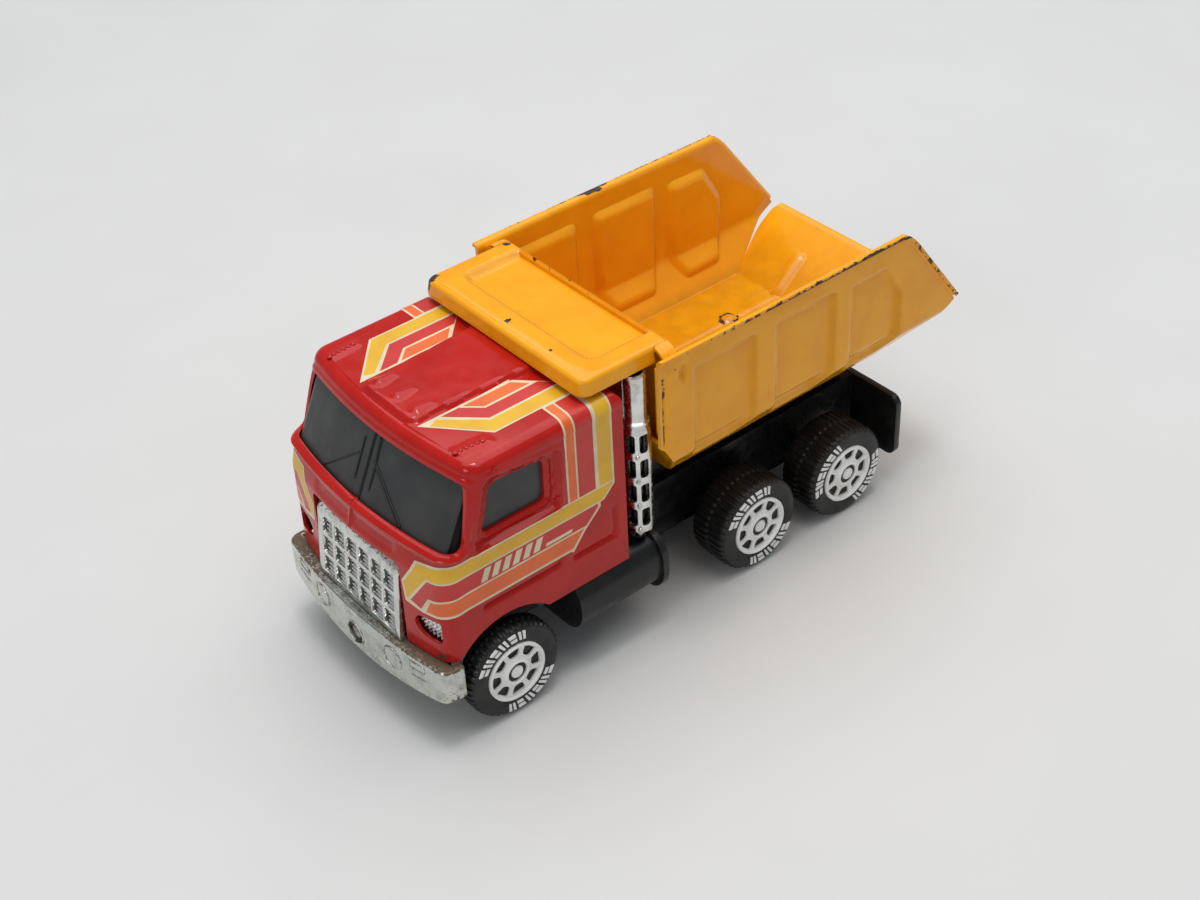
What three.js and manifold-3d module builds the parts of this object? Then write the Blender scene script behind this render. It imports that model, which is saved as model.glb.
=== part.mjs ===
// A pressed-steel toy dump truck: cab-over tractor, tandem rear wheels and a tipping rock body.
// Millimetres, +Z up. The truck drives towards -Y and its left side faces +X.
// The origin is on the ground, under the middle of the truck.
import * as THREE from "three";
import { mergeVertices } from "three/addons/utils/BufferGeometryUtils.js";
import Module from "manifold-3d";

const wasm = await Module();
wasm.setup();

// ---------- driving dimensions ----------
const GAP = 0.3; // clearance kept between neighbouring pieces
const FAR = 80; // beyond every surface, where a cutter starts or ends

// wheels and axles
const WHEEL_RADIUS = 11.2;
const RIM_RADIUS = 7;
const SIDEWALL_X = 29; // outer face of every tyre
const FRONT_TYRE_WIDTH = 5.4;
const REAR_TYRE_WIDTH = 10.2;
const AXLE_RADIUS = 1.2;
const AXLES = { front: -53.45, mid: 13.75, rear: 40.85 };

// pressed-steel cab
const SHEET = 0.9;
const CAB_HALF_WIDTH = 27.5;
const CAB_REAR_Y = -22.05;
const NOSE_BOTTOM_Z = 20.6;
const SKIRT_Z = 22;
const WAIST_Z = 41;
const SILL_Z = 46.4;
const HEADER_Z = 61.9;
const ROOF_Z = 64.4;
const ROOF_EDGE_RADIUS = 2.4;
const ROOF_PANEL_Z = 65.5;
const NOSE_Y = -70.45;
const SILL_Y = -68.75;
const HEADER_Y = -61.5;
const NOSE_BOW = 0.004; // how fast the nose falls back from its middle, per mm of width
const NOSE_CORNER_RADIUS = 4.2;
const ARCH_RADIUS = 15;
const ROOF_PANEL_HALF_WIDTH = 11.5;
const GLAZING_THICKNESS = 1.3;
// side outlines of the openings, as (y, z) pairs
const WINDSCREEN_PILLAR = [[-61.9, 47.2], [-61.4, 48.4], [-59.3, 59.8], [-59.9, 61.1]];
const SIDE_WINDOW = [
  [-55.9, 47.3], [-41.9, 47.3], [-40.7, 48.5], [-40.7, 56.2],
  [-41.8, 57.4], [-52.6, 58.6], [-53.8, 57.9], [-56.4, 48.4],
];

// front end
const GRILLE_HALF_WIDTH = 14.5;
const GRILLE_TOP_Z = 39;
const GRILLE_FACE_TOP_Z = 36.2; // above this the frame bevels back to the cab
const GRILLE_CELLS = { columns: 6, rows: 3, left: -12.9, bottom: 21.9, pitch: 4.8, bar: 0.9 };
const BUMPER_FRONT_Y = -72.75;
const BUMPER_HALF_WIDTH = 28.6;
const BUMPER_TOP_Z = 20.3;
const BUMPER_BOTTOM_Z = 9.4;
const BUMPER_BACK_Y = -67.2;
const BUMPER_BOW = 0.0032;
const BUMPER_RIVET = { z: 14, recess: 2.5, depth: 1.4, bore: 1.3 };

// chassis
const CHASSIS_HALF_WIDTH = 15.5;
const CHASSIS_WALL = 1.6;
const CHASSIS_TOP_Z = 24.6;
const CHASSIS_BOTTOM_Z = 10.5;
const CHASSIS_FRONT_Y = -66.6;
const CHASSIS_REAR_Y = 57;
const FLAP_HALF_WIDTH = 29.6;
const FLAP_BOTTOM_Z = 8.6;
const LUG_BOTTOM_Z = 7.9;
const BASE_BOTTOM_Z = 8;
const BASE_TOP_Z = 9.6;
const SCREW_POSTS = [-28, 27];
const SCREW_RADIUS = 0.9;
const SCREW_HEAD = { radius: 2.2, sunk: 0.1, thick: 0.6 };
const LINER = { outer: 14.3, inner: 13.1, side: 23.4, from: 32, to: 158 };

// tipping body
const BED_SHEET = 1;
const BED_HALF_WIDTH = 29.7;
const BED_FLOOR_Z = 34;
const BED_FLOOR_HALF_WIDTH = 22.6;
const BED_CREASE_Z = 42.6;
const BED_RIM_Z = 68.5;
const BED_FRONT_Y = -13.4;
const BED_SIDE_FRONT_Y = -14.5;
const BED_TAIL_Y = 72.75;
const BED_RIM_REAR_Y = 55.4;
const BED_HEM = 0.9; // how far the rolled rim and the tail flange stand out
const RAMP_START_Y = 54.8;
const RAMP_END_Z = 44.6;
const GUARD_TOP_Z = 69.5;
const GUARD_HALF_WIDTH = 26.2;
const GUARD_FRONT_Y = -30.75;
const BULKHEAD_Y = -9.6;
const GUARD_SKIRT_Z = 66;
const SIDE_PANELS = [[-4.9, 11.5], [17.5, 34.3], [39.3, 54.3]];
const PANEL_DEPTH = 0.5;
const BED_RIVETS = [4, 42];
const RIVET_HOLE_RADIUS = 1.3;
const HINGE = { y: 50, z: 28.2 };
const PIN_RADIUS = 1.3;
const BRACKET = { front: -4, rear: 53, inner: 11.6, outer: 13.6, eye: 3.1 };

// exhaust stacks and tanks
const STACK = { x: 25, y: -16.85, foot: 23.4, collar: 54.2, top: 65.5, shield: 3, pipe: 2.4 };
const STACK_SLOTS = { rows: 5, pitch: 5.6, width: 1.6, height: 3.6, heading: 0.75, spread: 0.5 };
const TANK = { front: -36.2, rear: -13.2, side: 29, top: 22.9, bottom: 9.6, radius: 6 };

// ---------- materials ----------
function finish(color, roughness, metalness) {
  return new THREE.MeshStandardMaterial({ color, roughness, metalness });
}
const redEnamel = finish(0xb31b14, 0.25, 0.1);
const orangeEnamel = finish(0xf09a12, 0.3, 0.1);
const chrome = finish(0xc9c6bd, 0.25, 0.9);
const blackPlastic = finish(0x151617, 0.5, 0);
const darkGlazing = finish(0x2b2c2d, 0.4, 0);
const tyreRubber = finish(0x101112, 0.7, 0);
const whitePlastic = finish(0xdedfdc, 0.4, 0);
const steel = finish(0x9a9c9e, 0.35, 0.9);

// ---------- geometry helpers ----------
const Y_TO_Z_FROM_X = new THREE.Matrix4().makeBasis(
  new THREE.Vector3(0, 1, 0),
  new THREE.Vector3(0, 0, 1),
  new THREE.Vector3(1, 0, 0),
);
const X_TO_Z_FROM_Y = new THREE.Matrix4().makeBasis(
  new THREE.Vector3(1, 0, 0),
  new THREE.Vector3(0, 0, 1),
  new THREE.Vector3(0, -1, 0),
);

function solid(geometry) {
  const bare = new THREE.BufferGeometry();
  bare.setAttribute("position", geometry.getAttribute("position"));
  bare.setIndex(geometry.getIndex());
  const merged = mergeVertices(bare, 1e-4);
  return new wasm.Manifold(
    new wasm.Mesh({
      numProp: 3,
      vertProperties: new Float32Array(merged.getAttribute("position").array),
      triVerts: new Uint32Array(merged.getIndex().array),
    }),
  );
}

function surface(body) {
  const data = body.getMesh();
  const geometry = new THREE.BufferGeometry();
  geometry.setAttribute("position", new THREE.BufferAttribute(data.vertProperties, 3));
  geometry.setIndex(new THREE.BufferAttribute(data.triVerts, 1));
  geometry.computeVertexNormals();
  return geometry;
}

function block(x0, x1, y0, y1, z0, z1) {
  const geometry = new THREE.BoxGeometry(x1 - x0, y1 - y0, z1 - z0);
  geometry.translate((x0 + x1) / 2, (y0 + y1) / 2, (z0 + z1) / 2);
  return solid(geometry);
}

function slab(shape, depth, matrix, offset, curveSegments = 6) {
  const geometry = new THREE.ExtrudeGeometry(shape, { depth, bevelEnabled: false, curveSegments });
  if (matrix) geometry.applyMatrix4(matrix);
  geometry.translate(offset.x, offset.y, offset.z);
  return solid(geometry);
}

// A (y, z) outline pushed along X from x0 to x1.
function acrossX(shape, x0, x1, curveSegments) {
  return slab(shape, x1 - x0, Y_TO_Z_FROM_X, new THREE.Vector3(x0, 0, 0), curveSegments);
}

// An (x, z) outline pushed along Y from y0 to y1.
function alongY(shape, y0, y1, curveSegments) {
  return slab(shape, y1 - y0, X_TO_Z_FROM_Y, new THREE.Vector3(0, y1, 0), curveSegments);
}

// An (x, y) outline pushed up from z0 to z1.
function upZ(shape, z0, z1, curveSegments) {
  return slab(shape, z1 - z0, null, new THREE.Vector3(0, 0, z0), curveSegments);
}

function polygon(points) {
  return new THREE.Shape(points.map(([u, v]) => new THREE.Vector2(u, v)));
}

function roundedBox(u0, u1, v0, v1, radius) {
  const shape = new THREE.Shape();
  shape.moveTo(u0 + radius, v0);
  shape.lineTo(u1 - radius, v0);
  shape.absarc(u1 - radius, v0 + radius, radius, -Math.PI / 2, 0);
  shape.lineTo(u1, v1 - radius);
  shape.absarc(u1 - radius, v1 - radius, radius, 0, Math.PI / 2);
  shape.lineTo(u0 + radius, v1);
  shape.absarc(u0 + radius, v1 - radius, radius, Math.PI / 2, Math.PI);
  shape.lineTo(u0, v0 + radius);
  shape.absarc(u0 + radius, v0 + radius, radius, Math.PI, 1.5 * Math.PI);
  return shape;
}

function disc(u, v, radius) {
  const shape = new THREE.Shape();
  shape.absarc(u, v, radius, 0, 2 * Math.PI);
  return shape;
}

function rodX(radius, x0, x1, y, z, segments = 16) {
  return acrossX(disc(y, z, radius), x0, x1, segments);
}

// The same piece on the left (side 1) or the right (side -1) of the truck.
function onSide(side, body) {
  return side > 0 ? body : body.mirror([1, 0, 0]);
}

// A solid of revolution about the X direction; its profile is (radius, x) pairs.
function turnedX(profile, segments) {
  const points = profile.map(([r, x]) => new THREE.Vector2(r, x));
  const geometry = new THREE.LatheGeometry(points, segments);
  geometry.rotateZ(-Math.PI / 2);
  return geometry;
}

function turnedZ(profile, segments) {
  const points = profile.map(([r, z]) => new THREE.Vector2(r, z));
  const geometry = new THREE.LatheGeometry(points, segments);
  geometry.rotateX(Math.PI / 2);
  return geometry;
}

// A closed skin through stacked loops that all have the same number of points.
function loft(loops) {
  const count = loops[0].length;
  const positions = loops.flat().flatMap((p) => [p.x, p.y, p.z]);
  const faces = [];
  for (let level = 0; level + 1 < loops.length; level++) {
    for (let i = 0; i < count; i++) {
      const a = level * count + i;
      const b = level * count + ((i + 1) % count);
      faces.push(a, b, b + count, a, b + count, a + count);
    }
  }
  for (const [level, flip] of [[0, true], [loops.length - 1, false]]) {
    const loop = loops[level];
    const middle = loop.reduce((sum, p) => sum.add(p), new THREE.Vector3()).divideScalar(count);
    const hub = positions.length / 3;
    positions.push(middle.x, middle.y, middle.z);
    for (let i = 0; i < count; i++) {
      const a = level * count + i;
      const b = level * count + ((i + 1) % count);
      faces.push(hub, flip ? b : a, flip ? a : b);
    }
  }
  const geometry = new THREE.BufferGeometry();
  geometry.setAttribute("position", new THREE.Float32BufferAttribute(positions, 3));
  geometry.setIndex(faces);
  return solid(geometry);
}

// ---------- cab ----------
// The middle of the nose at a height: upright to the waist, then raked back to the roof.
function noseY(z) {
  const stations = [
    [NOSE_BOTTOM_Z, NOSE_Y], [WAIST_Z, NOSE_Y + 0.3], [SILL_Z, SILL_Y], [HEADER_Z, HEADER_Y],
  ];
  if (z <= NOSE_BOTTOM_Z) return NOSE_Y;
  for (let i = 0; i + 1 < stations.length; i++) {
    const [z0, y0] = stations[i];
    const [z1, y1] = stations[i + 1];
    if (z <= z1) return y0 + ((y1 - y0) * (z - z0)) / (z1 - z0);
  }
  return HEADER_Y;
}

// A plan outline of the cab: bowed nose, rounded front corners, square back.
function cabLoop(z, front, inset) {
  const half = CAB_HALF_WIDTH - inset;
  const radius = Math.max(NOSE_CORNER_RADIUS - inset, 1.2);
  const turn = Math.atan(2 * NOSE_BOW * (half - radius));
  const edge = half - radius * (1 - Math.sin(turn));
  const cornerX = half - radius;
  const cornerY = front + inset + NOSE_BOW * edge * edge + radius * Math.cos(turn);
  const points = [];
  const rear = CAB_REAR_Y - inset;
  points.push([half, rear], [-half, rear]);
  for (let i = 0; i <= 5; i++) {
    const angle = Math.PI + ((Math.PI / 2 - turn) * i) / 5;
    points.push([-cornerX + radius * Math.cos(angle), cornerY + radius * Math.sin(angle)]);
  }
  for (let i = 1; i < 8; i++) {
    const x = -edge + (2 * edge * i) / 8;
    points.push([x, front + inset + NOSE_BOW * x * x]);
  }
  for (let i = 0; i <= 5; i++) {
    const angle = 1.5 * Math.PI + turn + ((Math.PI / 2 - turn) * i) / 5;
    points.push([cornerX + radius * Math.cos(angle), cornerY + radius * Math.sin(angle)]);
  }
  return points.map(([x, y]) => new THREE.Vector3(x, y, z));
}

function cabSolid(inset, bottom) {
  const loops = [bottom, WAIST_Z, SILL_Z, HEADER_Z].map((z) => cabLoop(z, noseY(z), inset));
  for (const degrees of [30, 60, 90]) {
    const angle = THREE.MathUtils.degToRad(degrees);
    const radius = ROOF_EDGE_RADIUS;
    const step = radius * (1 - Math.cos(angle));
    const z = ROOF_Z - inset - radius + radius * Math.sin(angle);
    loops.push(cabLoop(z, HEADER_Y, inset + step));
  }
  return loft(loops);
}

function windscreenOpening() {
  const bottom = WINDSCREEN_PILLAR[0][1];
  const top = WINDSCREEN_PILLAR.at(-1)[1];
  return acrossX(polygon([[-FAR, bottom], ...WINDSCREEN_PILLAR, [-FAR, top]]), -FAR, FAR);
}

function lampOpening(side) {
  const shape = new THREE.Shape();
  shape.moveTo(25.4 * side, 24.2);
  shape.lineTo(25.4 * side, 30.2);
  shape.quadraticCurveTo(19 * side, 31.4, 17.4 * side, 29);
  shape.quadraticCurveTo(16.6 * side, 23.9, 21.4 * side, 23.8);
  shape.closePath();
  return alongY(shape, -FAR, -60);
}

function cabShell() {
  let shell = cabSolid(0, NOSE_BOTTOM_Z).subtract(cabSolid(SHEET, NOSE_BOTTOM_Z - 5));
  const archTrim = rodX(ARCH_RADIUS, -FAR, FAR, AXLES.front, WHEEL_RADIUS, 40);
  const skirtTrim = block(-FAR, FAR, AXLES.front, 0, 0, SKIRT_Z);
  const notchHalf = GRILLE_HALF_WIDTH + 0.4;
  const grilleNotch = block(-notchHalf, notchHalf, -FAR, -60, 10, GRILLE_TOP_Z + 0.4);
  const backHalf = CAB_HALF_WIDTH - SHEET - GAP;
  const backTrim = block(-backHalf, backHalf, CAB_REAR_Y - 3, CAB_REAR_Y + 3, 0, CHASSIS_TOP_Z + 0.4);
  const sideWindows = acrossX(polygon(SIDE_WINDOW), -FAR, FAR);
  const cuts = [archTrim, skirtTrim, backTrim, grilleNotch, windscreenOpening(), sideWindows];
  for (const side of [-1, 1]) cuts.push(lampOpening(side));
  for (const cut of cuts) shell = shell.subtract(cut);
  return shell.add(roofPanel());
}

// The raised middle of the roof, a little wider at the back.
function roofPanel() {
  const rearHalf = ROOF_PANEL_HALF_WIDTH;
  const frontHalf = ROOF_PANEL_HALF_WIDTH - 1.1;
  const rear = CAB_REAR_Y - ROOF_EDGE_RADIUS;
  const front = HEADER_Y + 2;
  const loop = (z, step) => [
    [rearHalf - step, rear - step], [-rearHalf + step, rear - step],
    [-frontHalf + step, front + step], [frontHalf - step, front + step],
  ].map(([x, y]) => new THREE.Vector3(x, y, z));
  return loft([loop(ROOF_Z - 0.5, 0), loop(ROOF_Z, 0), loop(ROOF_PANEL_Z, 0.9)]);
}

// One dark moulding inside the cab that closes the windscreen and both side windows.
function cabGlazing() {
  const outer = cabSolid(SHEET + GAP, 45.2);
  const inner = cabSolid(SHEET + GAP + GLAZING_THICKNESS, 40);
  const band = block(-FAR, FAR, -FAR, -35, 45.4, 62.2);
  return outer.subtract(inner).intersect(band);
}

// A curved lens behind the opening in the nose, a little larger than it.
function headlamp(side) {
  const outer = cabSolid(SHEET + GAP, 22);
  const inner = cabSolid(SHEET + GAP + 1.6, 20);
  const window = alongY(roundedBox(16.4, 26.6, 22.8, 31.6, 1), -FAR, -63);
  return outer.subtract(inner).intersect(onSide(side, window));
}

// ---------- front end ----------
function grille() {
  const back = NOSE_Y + 3.5;
  const face = [
    [NOSE_Y - 0.4, NOSE_BOTTOM_Z], [NOSE_Y + 1.3, GRILLE_FACE_TOP_Z], [NOSE_Y + 2.2, GRILLE_TOP_Z],
    [back, GRILLE_TOP_Z], [back, NOSE_BOTTOM_Z],
  ];
  let body = acrossX(polygon(face), -GRILLE_HALF_WIDTH, GRILLE_HALF_WIDTH);
  const { columns, rows, left, bottom, pitch, bar } = GRILLE_CELLS;
  const width = (2 * -left) / columns;
  for (let column = 0; column < columns; column++) {
    for (let row = 0; row < rows; row++) {
      const x = left + column * width + bar / 2;
      const z = bottom + row * pitch;
      body = body.subtract(block(x, x + width - bar, -FAR, back - 1.6, z, z + pitch - bar));
    }
  }
  return body;
}

// The bumper is bowed in plan, with a short arm back at each end, and its lower edge rises to the ends.
function frontBumper() {
  const half = BUMPER_HALF_WIDTH;
  const corner = 1.2;
  const edge = half - corner;
  const steps = 12;
  const front = [];
  const lower = [];
  for (let i = 0; i <= steps; i++) {
    const x = -edge + (2 * edge * i) / steps;
    front.push([x, BUMPER_FRONT_Y + BUMPER_BOW * x * x]);
    lower.push([x, BUMPER_BOTTOM_Z + BUMPER_BOW * x * x]);
  }
  const sideFront = front.at(-1)[1] + corner;
  const sideBottom = lower.at(-1)[1] + corner;
  const arm = BUMPER_BACK_Y + 2;
  const inner = half - 1.6;
  const plan = polygon([
    ...front, [half, sideFront], [half, arm], [inner, arm], [inner, BUMPER_BACK_Y],
    [-inner, BUMPER_BACK_Y], [-inner, arm], [-half, arm], [-half, sideFront],
  ]);
  const elevation = polygon([
    ...lower, [half, sideBottom], [half, BUMPER_TOP_Z], [-half, BUMPER_TOP_Z], [-half, sideBottom],
  ]);
  const body = upZ(plan, 0, BUMPER_TOP_Z).intersect(alongY(elevation, -FAR, -60));
  const { z, recess, depth } = BUMPER_RIVET;
  const pocket = alongY(disc(0, z, recess), -FAR, BUMPER_FRONT_Y + depth, 10);
  return body.subtract(pocket).subtract(bumperRivetBore());
}

// The bore that the rivet passes through, in the bumper and in the chassis behind it.
function bumperRivetBore() {
  return alongY(disc(0, BUMPER_RIVET.z, BUMPER_RIVET.bore), -FAR, -60, 8);
}

function bumperRivet() {
  const profile = [[0, -5.6], [1, -5.6], [1, 0.4], [1.9, 0.4], [1.5, 1.1], [0, 1.3]];
  const geometry = turnedZ(profile, 14);
  geometry.rotateX(Math.PI / 2);
  geometry.translate(0, BUMPER_FRONT_Y + BUMPER_RIVET.depth, BUMPER_RIVET.z);
  return solid(geometry);
}

// ---------- chassis ----------
function frontArchLiner(side) {
  const ring = new THREE.Shape();
  const from = THREE.MathUtils.degToRad(LINER.from);
  const to = THREE.MathUtils.degToRad(LINER.to);
  ring.absarc(AXLES.front, WHEEL_RADIUS, LINER.outer, from, to, false);
  ring.absarc(AXLES.front, WHEEL_RADIUS, LINER.inner, to, from, true);
  return onSide(side, acrossX(ring, CHASSIS_HALF_WIDTH - 0.4, LINER.side, 14));
}

// The thicker foot of the chassis wall that an axle runs through.
function axleLug(y, side) {
  const shape = roundedBox(y - 3.2, y + 3.2, LUG_BOTTOM_Z, WHEEL_RADIUS + 4, 1);
  return onSide(side, acrossX(shape, CHASSIS_HALF_WIDTH - CHASSIS_WALL, CHASSIS_HALF_WIDTH, 3));
}

function hingeEar() {
  const radius = 2.9;
  const foot = CHASSIS_TOP_Z - 0.4;
  const shape = new THREE.Shape();
  shape.moveTo(HINGE.y - radius - 0.8, foot);
  shape.lineTo(HINGE.y + radius + 0.8, foot);
  shape.lineTo(HINGE.y + radius, HINGE.z);
  shape.absarc(HINGE.y, HINGE.z, radius, 0, Math.PI);
  shape.closePath();
  return acrossX(shape, BRACKET.inner - GAP - 2.1, BRACKET.inner - GAP - 0.1, 8);
}

function chassis() {
  const outer = CHASSIS_HALF_WIDTH;
  const inner = outer - CHASSIS_WALL;
  let body = block(-outer, outer, CHASSIS_FRONT_Y, CHASSIS_REAR_Y, CHASSIS_BOTTOM_Z, CHASSIS_TOP_Z);
  const hollow = block(
    -inner, inner, CHASSIS_FRONT_Y + CHASSIS_WALL, CHASSIS_REAR_Y - CHASSIS_WALL,
    0, CHASSIS_TOP_Z - CHASSIS_WALL,
  );
  body = body.subtract(hollow);
  const flapShape = roundedBox(-FLAP_HALF_WIDTH, FLAP_HALF_WIDTH, FLAP_BOTTOM_Z, CHASSIS_TOP_Z + 0.3, 2.4);
  body = body.add(alongY(flapShape, CHASSIS_REAR_Y - CHASSIS_WALL, CHASSIS_REAR_Y, 4));
  for (const side of [-1, 1]) {
    for (const y of Object.values(AXLES)) body = body.add(axleLug(y, side));
    body = body.add(frontArchLiner(side)).add(onSide(side, hingeEar()));
  }
  for (const y of SCREW_POSTS) {
    body = body.add(upZ(disc(0, y, SCREW_RADIUS + 1.7), BASE_TOP_Z + GAP, CHASSIS_TOP_Z - 1, 10));
    body = body.subtract(upZ(disc(0, y, SCREW_RADIUS + GAP), 0, CHASSIS_TOP_Z - 4, 8));
  }
  for (const y of Object.values(AXLES)) {
    const bore = rodX(AXLE_RADIUS + GAP, -20, 20, y, WHEEL_RADIUS, 12);
    const slot = block(-20, 20, y - AXLE_RADIUS - 0.1, y + AXLE_RADIUS + 0.1, 0, WHEEL_RADIUS);
    body = body.subtract(bore).subtract(slot);
  }
  body = body.subtract(bumperRivetBore());
  return body.subtract(hingeBore());
}

function hingeBore() {
  return rodX(PIN_RADIUS + GAP, -BRACKET.outer - 1, BRACKET.outer + 1, HINGE.y, HINGE.z, 12);
}

// The flat cover that snaps under the chassis and keeps the axles in their slots.
function basePlate() {
  const half = CHASSIS_HALF_WIDTH - CHASSIS_WALL - GAP;
  let body = block(-half, half, -58, 47, BASE_BOTTOM_Z, BASE_TOP_Z);
  const { radius, sunk, thick } = SCREW_HEAD;
  const pocketTop = BASE_BOTTOM_Z + sunk + thick + GAP;
  for (const y of SCREW_POSTS) {
    body = body.subtract(upZ(disc(0, y, SCREW_RADIUS + 0.4), 0, 20, 8));
    body = body.subtract(upZ(disc(0, y, radius + GAP), 0, pocketTop, 8));
  }
  return body;
}

// A screw whose head lies just inside the face of the base plate.
function baseScrew(y) {
  const { radius, sunk, thick } = SCREW_HEAD;
  const head = BASE_BOTTOM_Z + sunk;
  const seat = head + thick;
  const profile = [
    [0, head], [radius - 0.3, head], [radius, seat], [SCREW_RADIUS, seat], [SCREW_RADIUS, 18], [0, 18.6],
  ];
  const geometry = turnedZ(profile, 12);
  geometry.translate(0, y, 0);
  return solid(geometry);
}

// ---------- tanks and stacks ----------
function tankOutline(grow) {
  const { side, top, bottom, radius } = TANK;
  const inner = CHASSIS_HALF_WIDTH + GAP;
  const shape = new THREE.Shape();
  shape.moveTo(inner, bottom - grow);
  shape.lineTo(side + grow - radius, bottom - grow);
  shape.absarc(side + grow - radius, bottom - grow + radius, radius, -Math.PI / 2, 0);
  shape.absarc(side + grow - radius, top + grow - radius, radius, 0, Math.PI / 2);
  shape.lineTo(inner, top + grow);
  shape.closePath();
  return shape;
}

function fuelTank(side) {
  const barrel = alongY(tankOutline(0), TANK.front, TANK.rear, 6);
  const flange = alongY(tankOutline(0.9), TANK.rear - 1.6, TANK.rear, 6);
  const hollow = block(
    CHASSIS_HALF_WIDTH - 2, TANK.side - 3, TANK.front + 1.5, TANK.rear - 1.5, 0, TANK.top - 3,
  );
  return onSide(side, barrel.add(flange).subtract(hollow));
}

function exhaustStack(side) {
  const { x, y, foot, collar, top, shield, pipe } = STACK;
  const bore = pipe - 0.8;
  const profile = [
    [0, foot], [1.4, foot], [shield, foot + 4], [shield, collar - 1.2], [shield - 0.3, collar - 0.6],
    [shield - 0.1, collar], [pipe, collar + 0.7], [pipe, top - 0.4], [pipe - 0.3, top],
    [bore, top], [bore, top - 3], [0, top - 3],
  ];
  const geometry = turnedZ(profile, 20);
  let body = solid(geometry);
  const { rows, pitch, width, height, heading, spread } = STACK_SLOTS;
  for (let row = 0; row < rows; row++) {
    for (const turn of [heading - spread, heading + spread]) {
      const slot = new THREE.BoxGeometry(width, 1.4, height);
      slot.translate(0, -shield, foot + 3.6 + row * pitch + height / 2);
      slot.rotateZ(turn);
      body = body.subtract(solid(slot));
    }
  }
  return onSide(side, body.translate([x, y, 0]));
}

// ---------- wheels ----------
function tyre(width) {
  const outer = SIDEWALL_X;
  const inner = SIDEWALL_X - width;
  const bore = RIM_RADIUS + GAP;
  const shoulder = WHEEL_RADIUS - 1.1;
  return turnedX([
    [bore, inner], [shoulder, inner], [WHEEL_RADIUS, inner + 1.3],
    [WHEEL_RADIUS, outer - 1.3], [shoulder, outer], [bore, outer - 0.3], [bore, inner],
  ], 24);
}

function hub(width) {
  const face = SIDEWALL_X + 0.5;
  const back = SIDEWALL_X - width + 0.4;
  const bore = AXLE_RADIUS + GAP;
  return turnedX([
    [0, face - 0.2], [2.4, face - 0.2], [2.4, face - 1.1], [5.6, face - 1.4], [6, face],
    [RIM_RADIUS, face], [RIM_RADIUS, back], [bore, back], [bore, face - 1.8], [0, face - 1.8],
  ].reverse(), 18);
}

function axle() {
  const end = SIDEWALL_X - 1.7;
  return turnedX([
    [0, -end], [AXLE_RADIUS - 0.3, -end], [AXLE_RADIUS, -end + 0.4],
    [AXLE_RADIUS, end - 0.4], [AXLE_RADIUS - 0.3, end], [0, end],
  ], 14);
}

// ---------- tipping body ----------
function bedSection(inset, top) {
  const half = BED_HALF_WIDTH - inset;
  const floor = BED_FLOOR_Z + inset;
  const chamfer = BED_FLOOR_HALF_WIDTH - inset * 0.45;
  const crease = BED_CREASE_Z + inset * 0.45;
  return polygon([
    [-chamfer, floor], [chamfer, floor], [half, crease], [half, top], [-half, top], [-half, crease],
  ]);
}

function bedSideProfile() {
  return polygon([
    [BED_FRONT_Y, 46.7], [-6.4, BED_FLOOR_Z], [RAMP_START_Y, BED_FLOOR_Z], [BED_TAIL_Y - 0.3, RAMP_END_Z],
    [BED_TAIL_Y, 45.7], [56.2, BED_RIM_Z - 0.8], [55.2, BED_RIM_Z], [BED_FRONT_Y, BED_RIM_Z],
  ]);
}

function bedHollowProfile() {
  const floor = BED_FLOOR_Z + BED_SHEET;
  return polygon([
    [-30, FAR], [BED_FRONT_Y - 6, 59.5], [-5.8, floor], [RAMP_START_Y - 0.3, floor],
    [BED_TAIL_Y + 8, RAMP_END_Z + BED_SHEET + 5], [BED_TAIL_Y + 8, FAR],
  ]);
}

function panelOutline([y0, y1], nick, top) {
  return polygon([
    [y0, 44.6], [y1 - 3.4, 44.6], [y1, 48.6], [y1, top - nick], [y1 - nick, top], [y0, top],
  ]);
}

// Two embossed side panels are nearly square; the last has a wide corner cut.
function sidePanels() {
  const [front, middle, last] = SIDE_PANELS;
  return [panelOutline(front, 0.6, 63.5), panelOutline(middle, 0.6, 63.5), panelOutline(last, 3.4, 62)];
}

// The gap where the tail ramp is bent up between the two sides.
function rampSlit() {
  const slit = polygon([
    [21.5, RAMP_START_Y + 1.2], [22.1, RAMP_START_Y + 1], [28.5, 68.4], [28.5, FAR],
    [27.1, FAR], [27.1, 68.6],
  ]);
  return upZ(slit, BED_FLOOR_Z - 1, RAMP_END_Z + 4);
}

// The rim, front edge and tail edge of one side sheet, each turned or folded outwards.
function sideEdges() {
  const outer = BED_HALF_WIDTH;
  const inner = BED_HALF_WIDTH - BED_SHEET;
  const hemShape = roundedBox(inner, outer + BED_HEM, BED_RIM_Z - 1, BED_RIM_Z, 0.4);
  const hem = alongY(hemShape, BED_FRONT_Y + 1, BED_RIM_REAR_Y, 2);
  const front = block(inner, outer, BED_SIDE_FRONT_Y, BED_FRONT_Y + 0.5, 47.2, BED_RIM_Z);
  const tab = block(inner, outer, BED_SIDE_FRONT_Y - 1.2, BED_FRONT_Y + 0.5, 64.3, BED_RIM_Z + 0.4);
  const tail = acrossX(polygon([
    [BED_RIM_REAR_Y - 1, BED_RIM_Z - 1], [BED_TAIL_Y - 1.5, 45.9], [BED_TAIL_Y - 0.2, 45.9],
    [56.3, BED_RIM_Z - 0.9], [BED_RIM_REAR_Y - 0.2, BED_RIM_Z],
  ]), inner, outer + BED_HEM);
  return hem.add(front).add(tab).add(tail);
}

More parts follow.
